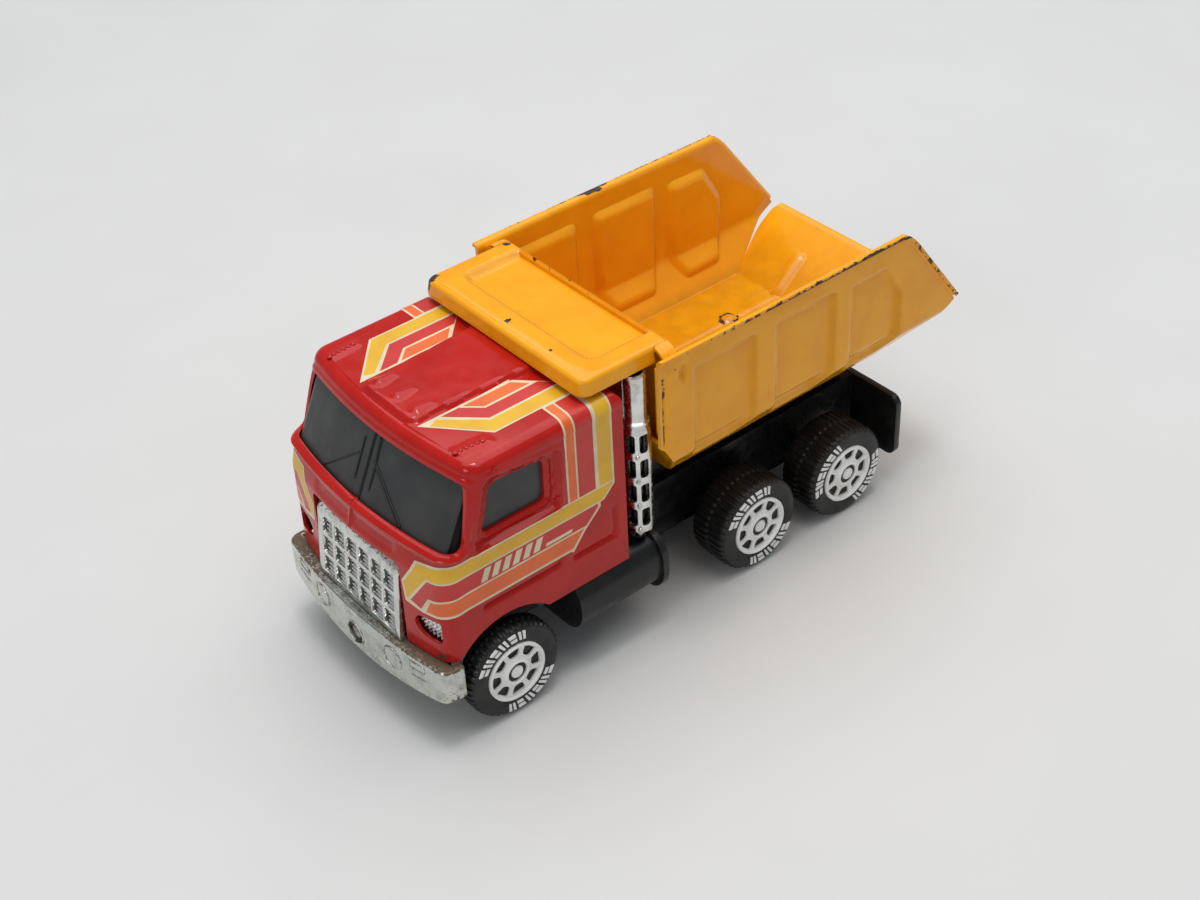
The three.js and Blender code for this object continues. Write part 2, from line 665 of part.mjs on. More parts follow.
function bedTub() {
  const outline = alongY(bedSection(0, BED_RIM_Z), BED_FRONT_Y, BED_TAIL_Y);
  const hollow = acrossX(bedHollowProfile(), -FAR, FAR);
  const cavity = alongY(bedSection(BED_SHEET, FAR), -FAR, FAR).intersect(hollow);
  let body = outline.intersect(acrossX(bedSideProfile(), -FAR, FAR)).subtract(cavity);
  const inner = BED_HALF_WIDTH - BED_SHEET;
  for (const side of [-1, 1]) {
    body = body.add(onSide(side, sideEdges())).subtract(onSide(side, rampSlit()));
    for (const outlineYZ of sidePanels()) {
      const boss = acrossX(outlineYZ, inner - PANEL_DEPTH - 0.1, BED_HALF_WIDTH - PANEL_DEPTH);
      const pocket = acrossX(outlineYZ, BED_HALF_WIDTH - PANEL_DEPTH - 0.1, FAR);
      body = body.add(onSide(side, boss)).subtract(onSide(side, pocket));
    }
  }
  for (const y of BED_RIVETS) body = body.subtract(rivetHole(y));
  return body;
}

function rivetHole(y) {
  return upZ(disc(0, y, RIVET_HOLE_RADIUS), BED_FLOOR_Z - 3, BED_FLOOR_Z + 3, 8);
}

// The front sheet of the body: bulkhead, side flanges and the guard that reaches over the cab.
function bedGuard() {
  const wide = BED_HALF_WIDTH - BED_SHEET - GAP;
  const thick = BED_SHEET - 0.1;
  const bottom = BED_CREASE_Z - 0.3;
  const rear = BULKHEAD_Y + thick;
  const bulkhead = alongY(polygon([
    [-wide + 1.7, bottom], [wide - 1.7, bottom], [wide, bottom + 2.3], [wide, GUARD_SKIRT_Z],
    [GUARD_HALF_WIDTH, GUARD_TOP_Z], [-GUARD_HALF_WIDTH, GUARD_TOP_Z],
    [-wide, GUARD_SKIRT_Z], [-wide, bottom + 2.3],
  ]), BULKHEAD_Y, rear);
  let body = bulkhead.add(guardRoof(thick));
  for (const side of [-1, 1]) {
    const flange = block(wide - thick, wide, -13.7, BULKHEAD_Y + 0.4, 50, GUARD_SKIRT_Z);
    body = body.add(onSide(side, flange));
  }
  return body;
}

// The shallow lid over the cab, with turned-down edges and a pressed-in middle.
function guardRoof(thick) {
  const half = GUARD_HALF_WIDTH;
  const rear = BULKHEAD_Y + thick;
  const outside = roundedBox(-half, half, GUARD_FRONT_Y, rear, 2);
  const inside = roundedBox(-half + thick, half - thick, GUARD_FRONT_Y + thick, BULKHEAD_Y + 8, 1.4);
  const pressed = roundedBox(-20, 20, -21.4, BULKHEAD_Y + 8, 2.2);
  const underside = GUARD_TOP_Z - thick;
  return upZ(outside, GUARD_SKIRT_Z, GUARD_TOP_Z, 4)
    .subtract(upZ(inside, GUARD_SKIRT_Z - 1, underside, 4))
    .subtract(block(-FAR, FAR, BULKHEAD_Y - 3.2, BULKHEAD_Y, 60, underside - 0.9))
    .subtract(upZ(pressed, GUARD_TOP_Z - 0.4, FAR, 4));
}

// The channel riveted under the floor: two rails with the hinge eyes at the back.
function bedBracket() {
  const top = BED_FLOOR_Z - GAP;
  const foot = CHASSIS_TOP_Z + 0.5;
  const { front, rear, inner, outer, eye } = BRACKET;
  let body = block(-outer, outer, front, rear, top - 1.3, top);
  const rail = new THREE.Shape();
  rail.moveTo(front, foot);
  rail.lineTo(HINGE.y, HINGE.z - eye);
  rail.absarc(HINGE.y, HINGE.z, eye, -Math.PI / 2, 0);
  rail.lineTo(rear, top - 1);
  rail.lineTo(front, top - 1);
  rail.closePath();
  for (const side of [-1, 1]) body = body.add(onSide(side, acrossX(rail, inner, outer, 6)));
  for (const y of BED_RIVETS) body = body.subtract(rivetHole(y));
  return body.subtract(hingeBore());
}

function hingePin() {
  const r = PIN_RADIUS;
  const head = -BRACKET.outer - 0.4;
  const tip = BRACKET.outer + 1;
  const profile = [
    [0, head - 0.6], [2, head - 0.6], [2, head], [r, head], [r, tip - 0.4], [r - 0.4, tip], [0, tip],
  ];
  return solid(turnedX(profile, 14)).translate([0, HINGE.y, HINGE.z]);
}

function bedRivet(y) {
  const tail = BED_FLOOR_Z - GAP - 1.3 - GAP;
  const head = BED_FLOOR_Z + BED_SHEET + GAP;
  const profile = [
    [0, tail - 1.1], [2, tail - 1.1], [2, tail], [1, tail],
    [1, head], [2.2, head], [1.6, head + 0.8], [0, head + 1],
  ];
  const geometry = turnedZ(profile, 14);
  geometry.translate(0, y, 0);
  return solid(geometry);
}

// ---------- assembly ----------
const truck = new THREE.Group();
truck.name = "toy_dump_truck";

function place(parent, name, body, material) {
  const geometry = body instanceof THREE.BufferGeometry ? body : surface(body);
  const mesh = new THREE.Mesh(geometry, material);
  mesh.name = name;
  parent.add(mesh);
  return mesh;
}

function wheelSet(label, tyreWidth) {
  const group = new THREE.Group();
  group.position.set(0, AXLES[label], WHEEL_RADIUS);
  place(group, `${label}_axle`, axle(), steel);
  for (const [side, turn] of [["left", 0], ["right", Math.PI]]) {
    const tyreMesh = place(group, `${label}_tyre_${side}`, tyre(tyreWidth), tyreRubber);
    const hubMesh = place(group, `${label}_hub_${side}`, hub(tyreWidth), whitePlastic);
    tyreMesh.rotation.z = turn;
    hubMesh.rotation.z = turn;
  }
  return group;
}

place(truck, "chassis", chassis(), blackPlastic);
place(truck, "base_plate", basePlate(), blackPlastic);
place(truck, "base_screw_front", baseScrew(SCREW_POSTS[0]), steel);
place(truck, "base_screw_rear", baseScrew(SCREW_POSTS[1]), steel);
place(truck, "cab_shell", cabShell(), redEnamel);
place(truck, "cab_glazing", cabGlazing(), darkGlazing);
place(truck, "grille", grille(), chrome);
place(truck, "front_bumper", frontBumper(), chrome);
place(truck, "bumper_rivet", bumperRivet(), steel);
for (const [label, side] of [["left", 1], ["right", -1]]) {
  place(truck, `headlamp_${label}`, headlamp(side), chrome);
  place(truck, `fuel_tank_${label}`, fuelTank(side), blackPlastic);
  place(truck, `exhaust_stack_${label}`, exhaustStack(side), chrome);
}
truck.add(wheelSet("front", FRONT_TYRE_WIDTH));
truck.add(wheelSet("mid", REAR_TYRE_WIDTH));
truck.add(wheelSet("rear", REAR_TYRE_WIDTH));

const tippingBody = new THREE.Group();
place(tippingBody, "bed_tub", bedTub(), orangeEnamel);
place(tippingBody, "bed_guard", bedGuard(), orangeEnamel);
place(tippingBody, "bed_bracket", bedBracket(), blackPlastic);
place(tippingBody, "bed_rivet_front", bedRivet(BED_RIVETS[0]), steel);
place(tippingBody, "bed_rivet_rear", bedRivet(BED_RIVETS[1]), steel);
place(tippingBody, "bed_hinge_pin", hingePin(), steel);
truck.add(tippingBody);

export default truck;
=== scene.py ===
"""The looks of a pressed-steel toy dump truck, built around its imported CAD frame.

Lengths here are millimetres, and MM turns them into Blender's metres. The truck stands on z = 0,
drives towards -Y, and its left side faces +X.
"""
import itertools
import math

import bmesh
import bpy
import numpy as np
from mathutils import Matrix, Vector


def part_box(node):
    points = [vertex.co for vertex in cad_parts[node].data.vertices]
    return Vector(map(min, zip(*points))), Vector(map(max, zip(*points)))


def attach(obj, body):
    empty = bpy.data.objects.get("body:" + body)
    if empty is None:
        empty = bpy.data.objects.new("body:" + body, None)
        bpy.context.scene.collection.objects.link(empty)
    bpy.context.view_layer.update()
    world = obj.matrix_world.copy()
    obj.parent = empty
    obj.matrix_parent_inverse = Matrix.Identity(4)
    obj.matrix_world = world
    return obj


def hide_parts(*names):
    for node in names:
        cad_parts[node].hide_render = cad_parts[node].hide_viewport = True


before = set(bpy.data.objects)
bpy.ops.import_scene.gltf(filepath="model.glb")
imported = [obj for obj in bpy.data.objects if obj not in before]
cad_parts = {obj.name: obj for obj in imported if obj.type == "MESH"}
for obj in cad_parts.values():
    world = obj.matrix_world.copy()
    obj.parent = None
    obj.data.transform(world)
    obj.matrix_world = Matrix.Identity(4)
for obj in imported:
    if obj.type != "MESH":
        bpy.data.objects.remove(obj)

MM = 0.001
FLIP = Matrix.Scale(-1, 4, (1, 0, 0))  # to the other side of the truck
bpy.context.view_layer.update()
SIDES, SIDE_NAMES = (1, -1), ("left", "right")
FAR = 90.0  # beyond every surface, where a cutter starts or ends


def box_mm(node):
    """The lowest and highest corner of a CAD node, in millimetres."""
    low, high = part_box(node)
    return np.array(low) / MM, np.array(high) / MM


# ---------- driving dimensions, from the frame ----------
CAB_LOW, CAB_HIGH = box_mm("cab_shell")
TUB_LOW, TUB_HIGH = box_mm("bed_tub")
LID_LOW, LID_HIGH = box_mm("bed_guard")
BUMPER_LOW, BUMPER_HIGH = box_mm("front_bumper")
GRILLE_LOW, GRILLE_HIGH = box_mm("grille")
STACK_LOW, STACK_HIGH = box_mm("exhaust_stack_left")
WHEEL_RADIUS = box_mm("rear_tyre_left")[1][2] / 2
AXLES = {"front": (-53.45, 5.4), "mid": (13.75, 10.2), "rear": (40.85, 10.2)}  # place along Y, tyre width

# ---------- small mathematics ----------


def ease(value, low, high):
    """0 up to low, 1 from high on, and smooth between."""
    t = np.clip((np.asarray(value, float) - low) / (high - low), 0, 1)
    return t * t * (3 - 2 * t)


def bump(value, middle, half):
    """1 at the middle, falling smoothly to 0 at half away from it."""
    return 1 - ease(np.abs(np.asarray(value, float) - middle), 0, half)


def segment_distance(u, v, a, b):
    """The distance of (u, v) from the stretch between a and b."""
    du, dv = b[0] - a[0], b[1] - a[1]
    t = np.clip(((u - a[0]) * du + (v - a[1]) * dv) / max(du * du + dv * dv, 1e-9), 0, 1)
    return np.hypot(u - a[0] - t * du, v - a[1] - t * dv)


def line_distance(u, v, points):
    return np.min([segment_distance(u, v, a, b) for a, b in zip(points, points[1:])], axis=0)


def outline_distance(u, v, corners):
    """The distance to a closed outline, negative inside it."""
    closed = [*corners, corners[0]]
    inside = np.zeros(np.shape(u), bool)
    for (u0, v0), (u1, v1) in zip(closed, closed[1:]):
        if v0 != v1:
            crosses = (v0 > v) != (v1 > v)
            inside ^= crosses & (u < u0 + (v - v0) * (u1 - u0) / (v1 - v0))
    return np.where(inside, -1, 1) * line_distance(u, v, closed)


def rounded(corners, radius, steps=6):
    """An outline with curves for corners. A corner may bring its own radius as a third number."""
    points = []
    for i, corner in enumerate(corners):
        here = np.array(corner[:2], float)
        before = np.array(corners[i - 1][:2]) - here
        after = np.array(corners[(i + 1) % len(corners)][:2]) - here
        back, on = np.linalg.norm(before), np.linalg.norm(after)
        reach = min(corner[2] if len(corner) > 2 else radius, 0.49 * back, 0.49 * on)
        start, end = here + before / back * reach, here + after / on * reach
        for t in np.linspace(0, 1, steps + 1):
            points.append(tuple((1 - t) ** 2 * start + 2 * t * (1 - t) * here + t * t * end))
    return points


def arc(centre, radius, start, end, steps):
    """Points on an arc, from one angle to another in degrees."""
    angles = np.radians(np.linspace(start, end, steps + 1))
    return [(centre[0] + radius * math.cos(a), centre[1] + radius * math.sin(a)) for a in angles]


def soft_limit(value, half):
    """value below zero and 0 above it, with a smooth turn of that half width."""
    turn = -((half - value) ** 2) / (4 * half)
    return np.where(value < -half, value, np.where(value > half, 0.0, turn))


def normals_of(points, wrap):
    """Unit normals of a grid of points: rows go up or back, and columns go round."""
    across = np.empty_like(points)
    if wrap:
        across[:] = np.roll(points, -1, axis=1) - np.roll(points, 1, axis=1)
    else:
        across[:] = np.gradient(points, axis=1)
    normal = np.cross(across, np.gradient(points, axis=0))
    return normal / np.maximum(np.linalg.norm(normal, axis=2, keepdims=True), 1e-9)


# ---------- mesh tools ----------


def add_object(name, data):
    obj = bpy.data.objects.new(name, data)
    bpy.context.scene.collection.objects.link(obj)
    return obj


def make_object(name, points, faces):
    mesh = bpy.data.meshes.new(name)
    mesh.from_pydata((np.asarray(points, float).reshape(-1, 3) * MM).tolist(), [], faces)
    return add_object(name, mesh)


def grid_faces(rows, columns, wrap=False):
    faces = []
    for i in range(rows - 1):
        for j in range(columns if wrap else columns - 1):
            a, b = i * columns + j, i * columns + (j + 1) % columns
            faces.append((a, b, b + columns, a + columns))
    return faces


def open_sheet(name, rows):
    """A skin through rows of points."""
    points = np.array(rows)
    return make_object(name, points, grid_faces(*points.shape[:2]))


def shift(x, y, z):
    return Matrix.Translation(Vector((x, y, z)) * MM)


def edit(obj, change):
    """Runs change on the mesh of obj as a bmesh."""
    work = bmesh.new()
    work.from_mesh(obj.data)
    change(work)
    work.to_mesh(obj.data)
    work.free()
    return obj


def face_outward(obj):
    return edit(obj, lambda work: bmesh.ops.recalc_face_normals(work, faces=work.faces))


def weld(obj, reach=0.004):
    return edit(obj, lambda work: bmesh.ops.remove_doubles(work, verts=work.verts, dist=reach * MM))


def bake(obj):
    """Turns the modifiers of obj into mesh."""
    graph = bpy.context.evaluated_depsgraph_get()
    mesh = bpy.data.meshes.new_from_object(obj.evaluated_get(graph))
    obj.modifiers.clear()
    obj.data = mesh
    return obj


def thicken(obj, thickness, offset=-1.0):
    """Gives an open skin a thickness; offset -1 keeps the skin as the outer face."""
    modifier = obj.modifiers.new("thickness", "SOLIDIFY")
    modifier.thickness = thickness * MM
    modifier.offset = offset
    return bake(obj)


def bevel(obj, width, segments=2, angle=32):
    modifier = obj.modifiers.new("bevel", "BEVEL")
    modifier.width = width * MM
    modifier.segments = segments
    modifier.limit_method = "ANGLE"
    modifier.angle_limit = math.radians(angle)
    return bake(obj)


def join(objects, name=None):
    """Joins objects into the first one, and gives it the name."""
    first, *others = objects
    work = bmesh.new()
    for obj in objects:
        obj.data.transform(obj.matrix_world)
        obj.matrix_world = Matrix.Identity(4)
        work.from_mesh(obj.data)
    work.to_mesh(first.data)
    work.free()
    for obj in others:
        bpy.data.objects.remove(obj)
    if name:
        first.name = name
    return first


def combine(obj, tools, operation="DIFFERENCE"):
    """Cuts closed tools out of a closed obj, or keeps what they share."""
    for tool in tools:
        modifier = obj.modifiers.new("combine", "BOOLEAN")
        modifier.operation = operation
        modifier.solver = "MANIFOLD"
        modifier.object = tool
        bake(obj)
        bpy.data.objects.remove(tool)
    return obj


def prism(outline, axis, low, high, name="prism"):
    """A closed solid: an outline in the other two directions, pushed along one axis."""
    points = []
    for depth in (low, high):
        for p, q in outline:
            points.append({"x": (depth, p, q), "y": (p, depth, q), "z": (p, q, depth)}[axis])
    count = len(outline)
    faces = [tuple(range(count)), tuple(range(2 * count - 1, count - 1, -1))]
    faces += [(i, i + count, (i + 1) % count + count, (i + 1) % count) for i in range(count)]
    return face_outward(make_object(name, points, faces))


def block(low, high, name="block"):
    (x0, y0, z0), (x1, y1, z1) = low, high
    return prism([(x0, y0), (x1, y0), (x1, y1), (x0, y1)], "z", z0, z1, name)


def turned(profile, axis, steps, name="turned", shape=None):
    """A solid of revolution. The profile is (radius, place) pairs, and closes on itself or on the axis."""
    angles = np.linspace(0, 2 * math.pi, steps, endpoint=False)
    radius = np.array([r for r, _ in profile])[:, None] * np.ones(steps)
    place = np.array([p for _, p in profile])[:, None] * np.ones(steps)
    if shape:
        radius, place = shape(radius, place, angles[None, :] * np.ones(radius.shape))
    around = (radius * np.cos(angles), radius * np.sin(angles))
    order = {"x": (place, *around), "y": (around[0], place, around[1]), "z": (*around, place)}[axis]
    points = np.stack(order, axis=2)
    rows = len(profile)
    faces = grid_faces(rows, steps, wrap=True)
    if profile[0][0] < 0.02 and profile[-1][0] < 0.02:
        obj = weld(make_object(name, points, faces), 0.03)
    else:
        last = (rows - 1) * steps
        faces += [(last + j, last + (j + 1) % steps, (j + 1) % steps, j) for j in range(steps)]
        obj = make_object(name, points, faces)
    return face_outward(obj)


def tube(points, radius, up, flat=1.0, sides=8):
    """A rod with rounded ends along a line of points; flat squeezes it along up."""
    points = np.asarray(points, float)
    along = np.gradient(points, axis=0)
    along /= np.linalg.norm(along, axis=1, keepdims=True)
    side = np.cross(along, np.asarray(up, float))
    side /= np.maximum(np.linalg.norm(side, axis=1, keepdims=True), 1e-9)
    over = np.cross(side, along)
    stations = [(p, i, 1.0) for i, p in enumerate(points)]
    for end, direction in ((0, -1), (len(points) - 1, 1)):
        for t in (0.8, 1.3):
            cap = (points[end] + along[end] * direction * radius * math.sin(t), end, math.cos(t))
            stations.insert(0 if direction < 0 else len(stations), cap)
    angles = np.linspace(0, 2 * math.pi, sides, endpoint=False)
    loops = []
    for p, i, k in stations:
        ring = np.outer(np.cos(angles), side[i]) + flat * np.outer(np.sin(angles), over[i])
        loops.append(p + radius * k * ring)
    faces = grid_faces(len(loops), sides, wrap=True)
    last = (len(loops) - 1) * sides
    faces += [tuple(range(sides)), tuple(range(last + sides - 1, last - 1, -1))]
    return face_outward(make_object("tube", np.array(loops), faces))


def capped_skin(name, loops, corners, relief=None, lid=None):
    """An open-bottomed skin: walls through stacked loops, and a patch over the last loop.

    corners are four loop indices, from the front left one round to the front right one. relief moves
    the walls along their normals, and lid(x, y) lifts the patch."""
    walls = np.array(loops)
    rows, count, _ = walls.shape
    if relief:
        walls = walls + normals_of(walls, wrap=True) * relief(*np.moveaxis(walls, 2, 0))[..., None]
    a, b, c, d = corners
    across, deep = c - b, b - a
    index = np.zeros((across + 1, deep + 1), int)
    index[:, 0] = [(d + i) % count for i in range(across + 1)]
    index[:, -1] = [c - i for i in range(across + 1)]
    index[0, :] = [d - j for j in range(deep + 1)]
    index[-1, :] = [a + j for j in range(deep + 1)]
    edge = walls[-1][index]
    u = np.linspace(0, 1, across + 1)[:, None, None]
    v = np.linspace(0, 1, deep + 1)[None, :, None]
    patch = (1 - v) * edge[:, :1] + v * edge[:, -1:] + (1 - u) * edge[:1] + u * edge[-1:]
    patch -= ((1 - u) * (1 - v) * edge[0, 0] + u * (1 - v) * edge[-1, 0]
              + (1 - u) * v * edge[0, -1] + u * v * edge[-1, -1])
    if lid:
        patch[..., 2] += lid(patch[..., 0], patch[..., 1])
    inner = patch[1:-1, 1:-1].reshape(-1, 3)
    index += (rows - 1) * count
    index[1:-1, 1:-1] = rows * count + np.arange(len(inner)).reshape(across - 1, deep - 1)
    faces = grid_faces(rows, count, wrap=True)
    quads = np.stack([index[:-1, :-1], index[1:, :-1], index[1:, 1:], index[:-1, 1:]], axis=2)
    faces += [tuple(quad) for quad in quads.reshape(-1, 4).tolist()]
    return make_object(name, np.concatenate([walls.reshape(-1, 3), inner]), faces)


def face_as(obj, direction):
    """Turns all faces round, if needed, so that most of them look along direction.

    Without a direction they look outwards. It may be a function of the faces' centres."""
    mesh = obj.data
    count = len(mesh.polygons)
    normal, centre, area = np.zeros(count * 3), np.zeros(count * 3), np.zeros(count)
    for name, values in (("normal", normal), ("center", centre), ("area", area)):
        mesh.polygons.foreach_get(name, values)
    normal, centre = normal.reshape(-1, 3), centre.reshape(-1, 3)
    if direction is None:
        direction = centre - centre.mean(axis=0)
    elif callable(direction):
        direction = direction(centre)
    if np.sum(area * np.sum(normal * direction, axis=1)) < 0:
        mesh.flip_normals()
    return obj


def dice(work, axis, start, step, unit=1.0, snap=0.0):
    """Cuts all faces of a bmesh along evenly spaced planes, the first at start from its lowest point."""
    normal = Vector([float(axis == i) for i in range(3)])
    values = [vert.co[axis] / unit for vert in work.verts]
    for value in np.arange(min(values) + start, max(values), step):
        parts = [*work.verts, *work.edges, *work.faces]
        plane = normal * float(value * unit)
        bmesh.ops.bisect_plane(work, geom=parts, dist=snap, plane_co=plane, plane_no=normal)


def slice_up(obj, step):
    """Cuts obj into low layers, so that its wear can vary over them."""
    return edit(obj, lambda work: dice(work, 2, step / 2, step, MM, 1e-7))


def mirrored(obj, name):
    """A copy of obj on the other side of the truck."""
    copy = add_object(name, obj.data.copy())
    copy.data.transform(FLIP)
    copy.data.flip_normals()
    return copy


def wear(obj, amount, name="wear"):
    """Stores a value from 0 to 1 at each point of obj for its material: its wear (on the tub with painted
    shade along the slit), or, under a second name, its painted shade.
    """
    mesh = obj.data
    co = np.zeros(len(mesh.vertices) * 3)
    mesh.vertices.foreach_get("co", co)
    x, y, z = co.reshape(-1, 3).T / MM
    values = amount(x, y, z) if callable(amount) else np.full(len(x), amount)
    layer = mesh.attributes.get(name) or mesh.attributes.new(name, "FLOAT", "POINT")
    layer.data.foreach_set("value", np.clip(values, 0, 1).astype(np.float32))


def dress(obj, material, body, stands_for=(), sharp=38):
    """The last step for every piece: smooth shading, its material, and its place in the frame."""
    obj.data.shade_smooth()
    obj.data.set_sharp_from_angle(angle=math.radians(sharp))
    obj.data.materials.clear()
    obj.data.materials.append(material)
    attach(obj, body)
    if stands_for:
        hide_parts(*stands_for)
    return obj


# ---------- materials ----------


class Shader:
    """A node material around one Principled shader."""

    def __init__(self, name, **settings):
        self.material = bpy.data.materials.new(name)
        self.material.use_nodes = True
        self.tree = self.material.node_tree
        self.bsdf = self.tree.nodes["Principled BSDF"]
        for socket, value in settings.items():
            self.bsdf.inputs[socket.replace("_", " ")].default_value = value
        self.place = self.node("ShaderNodeTexCoord").outputs["Object"]

    def node(self, kind, inputs=None, **properties):
        made = self.tree.nodes.new(kind)
        for key, value in properties.items():
            setattr(made, key, value)
        for key, value in (inputs or {}).items():
            if isinstance(value, bpy.types.NodeSocket):
                self.tree.links.new(value, made.inputs[key])
            else:
                made.inputs[key].default_value = value
        return made

    def noise(self, size, detail=3.0, roughness=0.55, stretch=(1, 1, 1)):
        """Noise whose features are about that many millimetres across."""
        place = self.node("ShaderNodeMapping", {"Vector": self.place, "Scale": stretch}).outputs[0]
        inputs = {"Vector": place, "Scale": 1 / (size * MM), "Detail": detail, "Roughness": roughness}
        return self.node("ShaderNodeTexNoise", inputs).outputs["Fac"]

    def band(self, value, low, high, start=0.0, end=1.0):
        """value taken from low..high to start..end, and held there."""
        inputs = {"Value": value, "From Min": low, "From Max": high, "To Min": start, "To Max": end}
        return self.node("ShaderNodeMapRange", inputs, interpolation_type="SMOOTHSTEP").outputs[0]

    def math(self, operation, a, b=0.0):
        return self.node("ShaderNodeMath", {0: a, 1: b}, operation=operation).outputs[0]

    def mix(self, factor, a, b):
        colors = [c if isinstance(c, bpy.types.NodeSocket) else (*c, 1) for c in (a, b)]
        inputs = {0: factor, 6: colors[0], 7: colors[1]}  # the places of the color sockets
        return self.node("ShaderNodeMix", inputs, data_type="RGBA").outputs[2]

    def attribute(self, name):
        return self.node("ShaderNodeAttribute", attribute_name=name).outputs["Fac"]

    def bump(self, height, distance, strength=1.0, below=None):
        inputs = {"Height": height, "Distance": distance * MM, "Strength": strength}
        if below:
            inputs["Normal"] = below
        return self.node("ShaderNodeBump", inputs).outputs[0]

    def link(self, value, socket):
        self.tree.links.new(value, self.bsdf.inputs[socket])

    def worn(self, share, spots):
        """The values of the wear attribute (worn places, and on the tub also painted shade along the slit)
        and the noise called spots, added up.
        """
        return self.math("ADD", self.math("MULTIPLY", self.attribute("wear"), share), spots)


def enamel(name, color, deep, patch):
    """Sprayed and baked paint on sheet steel, with brown chips at the worn places, and darker paint as
    painted shade where a second attribute asks for it.
    """
    shader = Shader(name, IOR=1.45, Specular_IOR_Level=0.32, Coat_Weight=0.14, Coat_Roughness=0.05)
    paint = shader.mix(shader.band(shader.noise(9, 3), 0.35, 0.7), color, deep)
    speck = shader.band(shader.noise(0.35, 2, 0.4), 0.74, 0.78)
    paint = shader.mix(shader.math("MULTIPLY", speck, 0.35), paint, [c * 0.45 for c in deep])
    # Painted shade: the paint goes towards half the deep tone where the shade attribute is set, broken up by
    # noise.
    uneven = shader.band(shader.noise(5, 4), 0.3, 0.7, 0.55, 1.0)
    painted_shade = shader.math("MULTIPLY", shader.attribute("painted_shade"), uneven)
    paint = shader.mix(painted_shade, paint, [c * 0.5 for c in deep])
    # The chips follow the wear attribute, which on the tub also holds painted shade along the slit.
    chips = shader.band(shader.worn(0.5, shader.noise(patch, 5, 0.62)), 0.80, 0.83)
    rust = shader.band(shader.noise(0.5, 3), 0.4, 0.65)
    metal = shader.mix(rust, (0.028, 0.018, 0.012), (0.085, 0.05, 0.032))
    shader.link(shader.mix(chips, paint, metal), "Base Color")
    smear = shader.band(shader.noise(3.5, 4), 0.3, 0.75, 0.10, 0.23)
    shader.link(shader.math("MAXIMUM", smear, shader.math("MULTIPLY", chips, 0.62)), "Roughness")
    peel = shader.bump(shader.noise(1.8, 2), 0.02, 0.2)
    shader.link(shader.bump(chips, -0.05, 1.0, peel), "Normal")
    return shader.material


def chrome_plate(name, dirt, roughness, pitting, bright, dull):
    """Vacuum-plated plastic: bright, pitted, and brown where the plating is wearing off."""
    shader = Shader(name, Metallic=1.0)
    plating = shader.mix(shader.band(shader.noise(2.4, 4), 0.42, 0.72), bright, dull)
    stain = shader.band(shader.worn(0.4, shader.noise(0.8, 5, 0.65)), 1.14 - dirt, 1.24 - dirt)
    tinted = shader.mix(stain, plating, (0.15, 0.11, 0.065))
    shader.link(shader.math("SUBTRACT", 1.0, shader.math("MULTIPLY", stain, 0.7)), "Metallic")
    pits = shader.band(shader.noise(0.42, 3, 0.6), 0.63, 0.70)
    pitted = shader.mix(shader.math("MULTIPLY", pits, pitting), tinted, (0.13, 0.12, 0.105))
    shader.link(pitted, "Base Color")
    rough = shader.band(shader.noise(1.1, 5), 0.35, 0.75, roughness, roughness + 0.22)
    shader.link(shader.math("MAXIMUM", rough, shader.math("MULTIPLY", stain, 0.5)), "Roughness")
    dents = shader.bump(shader.noise(1.1, 3), 0.04, 0.35)
    shader.link(shader.bump(pits, -0.015, 0.4 * pitting, dents), "Normal")
    return shader.material


def surface(name, tones, cloud, flecks, fleck_color, rough, relief, **settings):
    """A material whose tones, flecks, roughness and fine relief come from noise.

    flecks are (noise, low, high, strength), rough is (noise, smooth, rough), and relief is
    (noise, depth, strength)."""
    shader = Shader(name, **settings)
    tone = shader.mix(shader.band(shader.noise(*cloud), 0.35, 0.7), *tones)
    noise, low, high, strength = flecks
    factor = shader.math("MULTIPLY", shader.band(shader.noise(*noise), low, high), strength)
    shader.link(shader.mix(factor, tone, fleck_color), "Base Color")
    noise, low, high = rough
    shader.link(shader.band(shader.noise(*noise), 0.3, 0.75, low, high), "Roughness")
    noise, depth, strength = relief
    shader.link(shader.bump(shader.noise(*noise), depth, strength), "Normal")
    return shader.material


def decal_film(name, *tones):
    """Printed vinyl: even colour with faint fading, rubbed through here and there."""
    rubbed = ((0.45, 4, 0.6), 0.735, 0.76, 0.6)
    return surface(name, tones, (6, 3), rubbed, (0.36, 0.12, 0.05), ((2.2, 4), 0.3, 0.46),
                   ((0.5, 3), 0.01, 0.35), IOR=1.48, Coat_Weight=0.15, Coat_Roughness=0.25)


def moulded_plastic(name, color, lit, roughness, grain=0.25, dust=(0.09, 0.09, 0.075)):
    """Injection-moulded plastic with a faint grain, handling marks and a little dust."""
    rough = ((2.8, 5), roughness - 0.06, roughness + 0.12)
    return surface(name, (color, lit), (5, 4), ((0.3, 2), 0.72, 0.8, 0.35), dust, rough,
                   ((grain, 3), 0.015, 0.45), IOR=1.46)


def glazing_plastic(name):
    """The dark window moulding: satin, with a few pale scratches."""
    scratches = ((0.8, 2, 0.4, (0.12, 1, 1)), 0.745, 0.76, 0.3)
    tones = ((0.030, 0.031, 0.032), (0.042, 0.043, 0.043))
    return surface(name, tones, (7, 3), scratches, (0.16, 0.155, 0.15), ((2.5, 4), 0.34, 0.46),
                   ((0.5, 3), 0.012, 0.4), IOR=1.46)


def plated_steel(name):
    shader = Shader(name, Metallic=1.0)
    tone = shader.mix(shader.band(shader.noise(0.8, 4), 0.4, 0.7), (0.42, 0.41, 0.39), (0.16, 0.12, 0.09))
    shader.link(tone, "Base Color")
    shader.link(shader.band(shader.noise(0.5, 4), 0.3, 0.7, 0.25, 0.5), "Roughness")
    shader.link(shader.bump(shader.noise(0.3, 3), 0.02, 0.5), "Normal")
    return shader.material


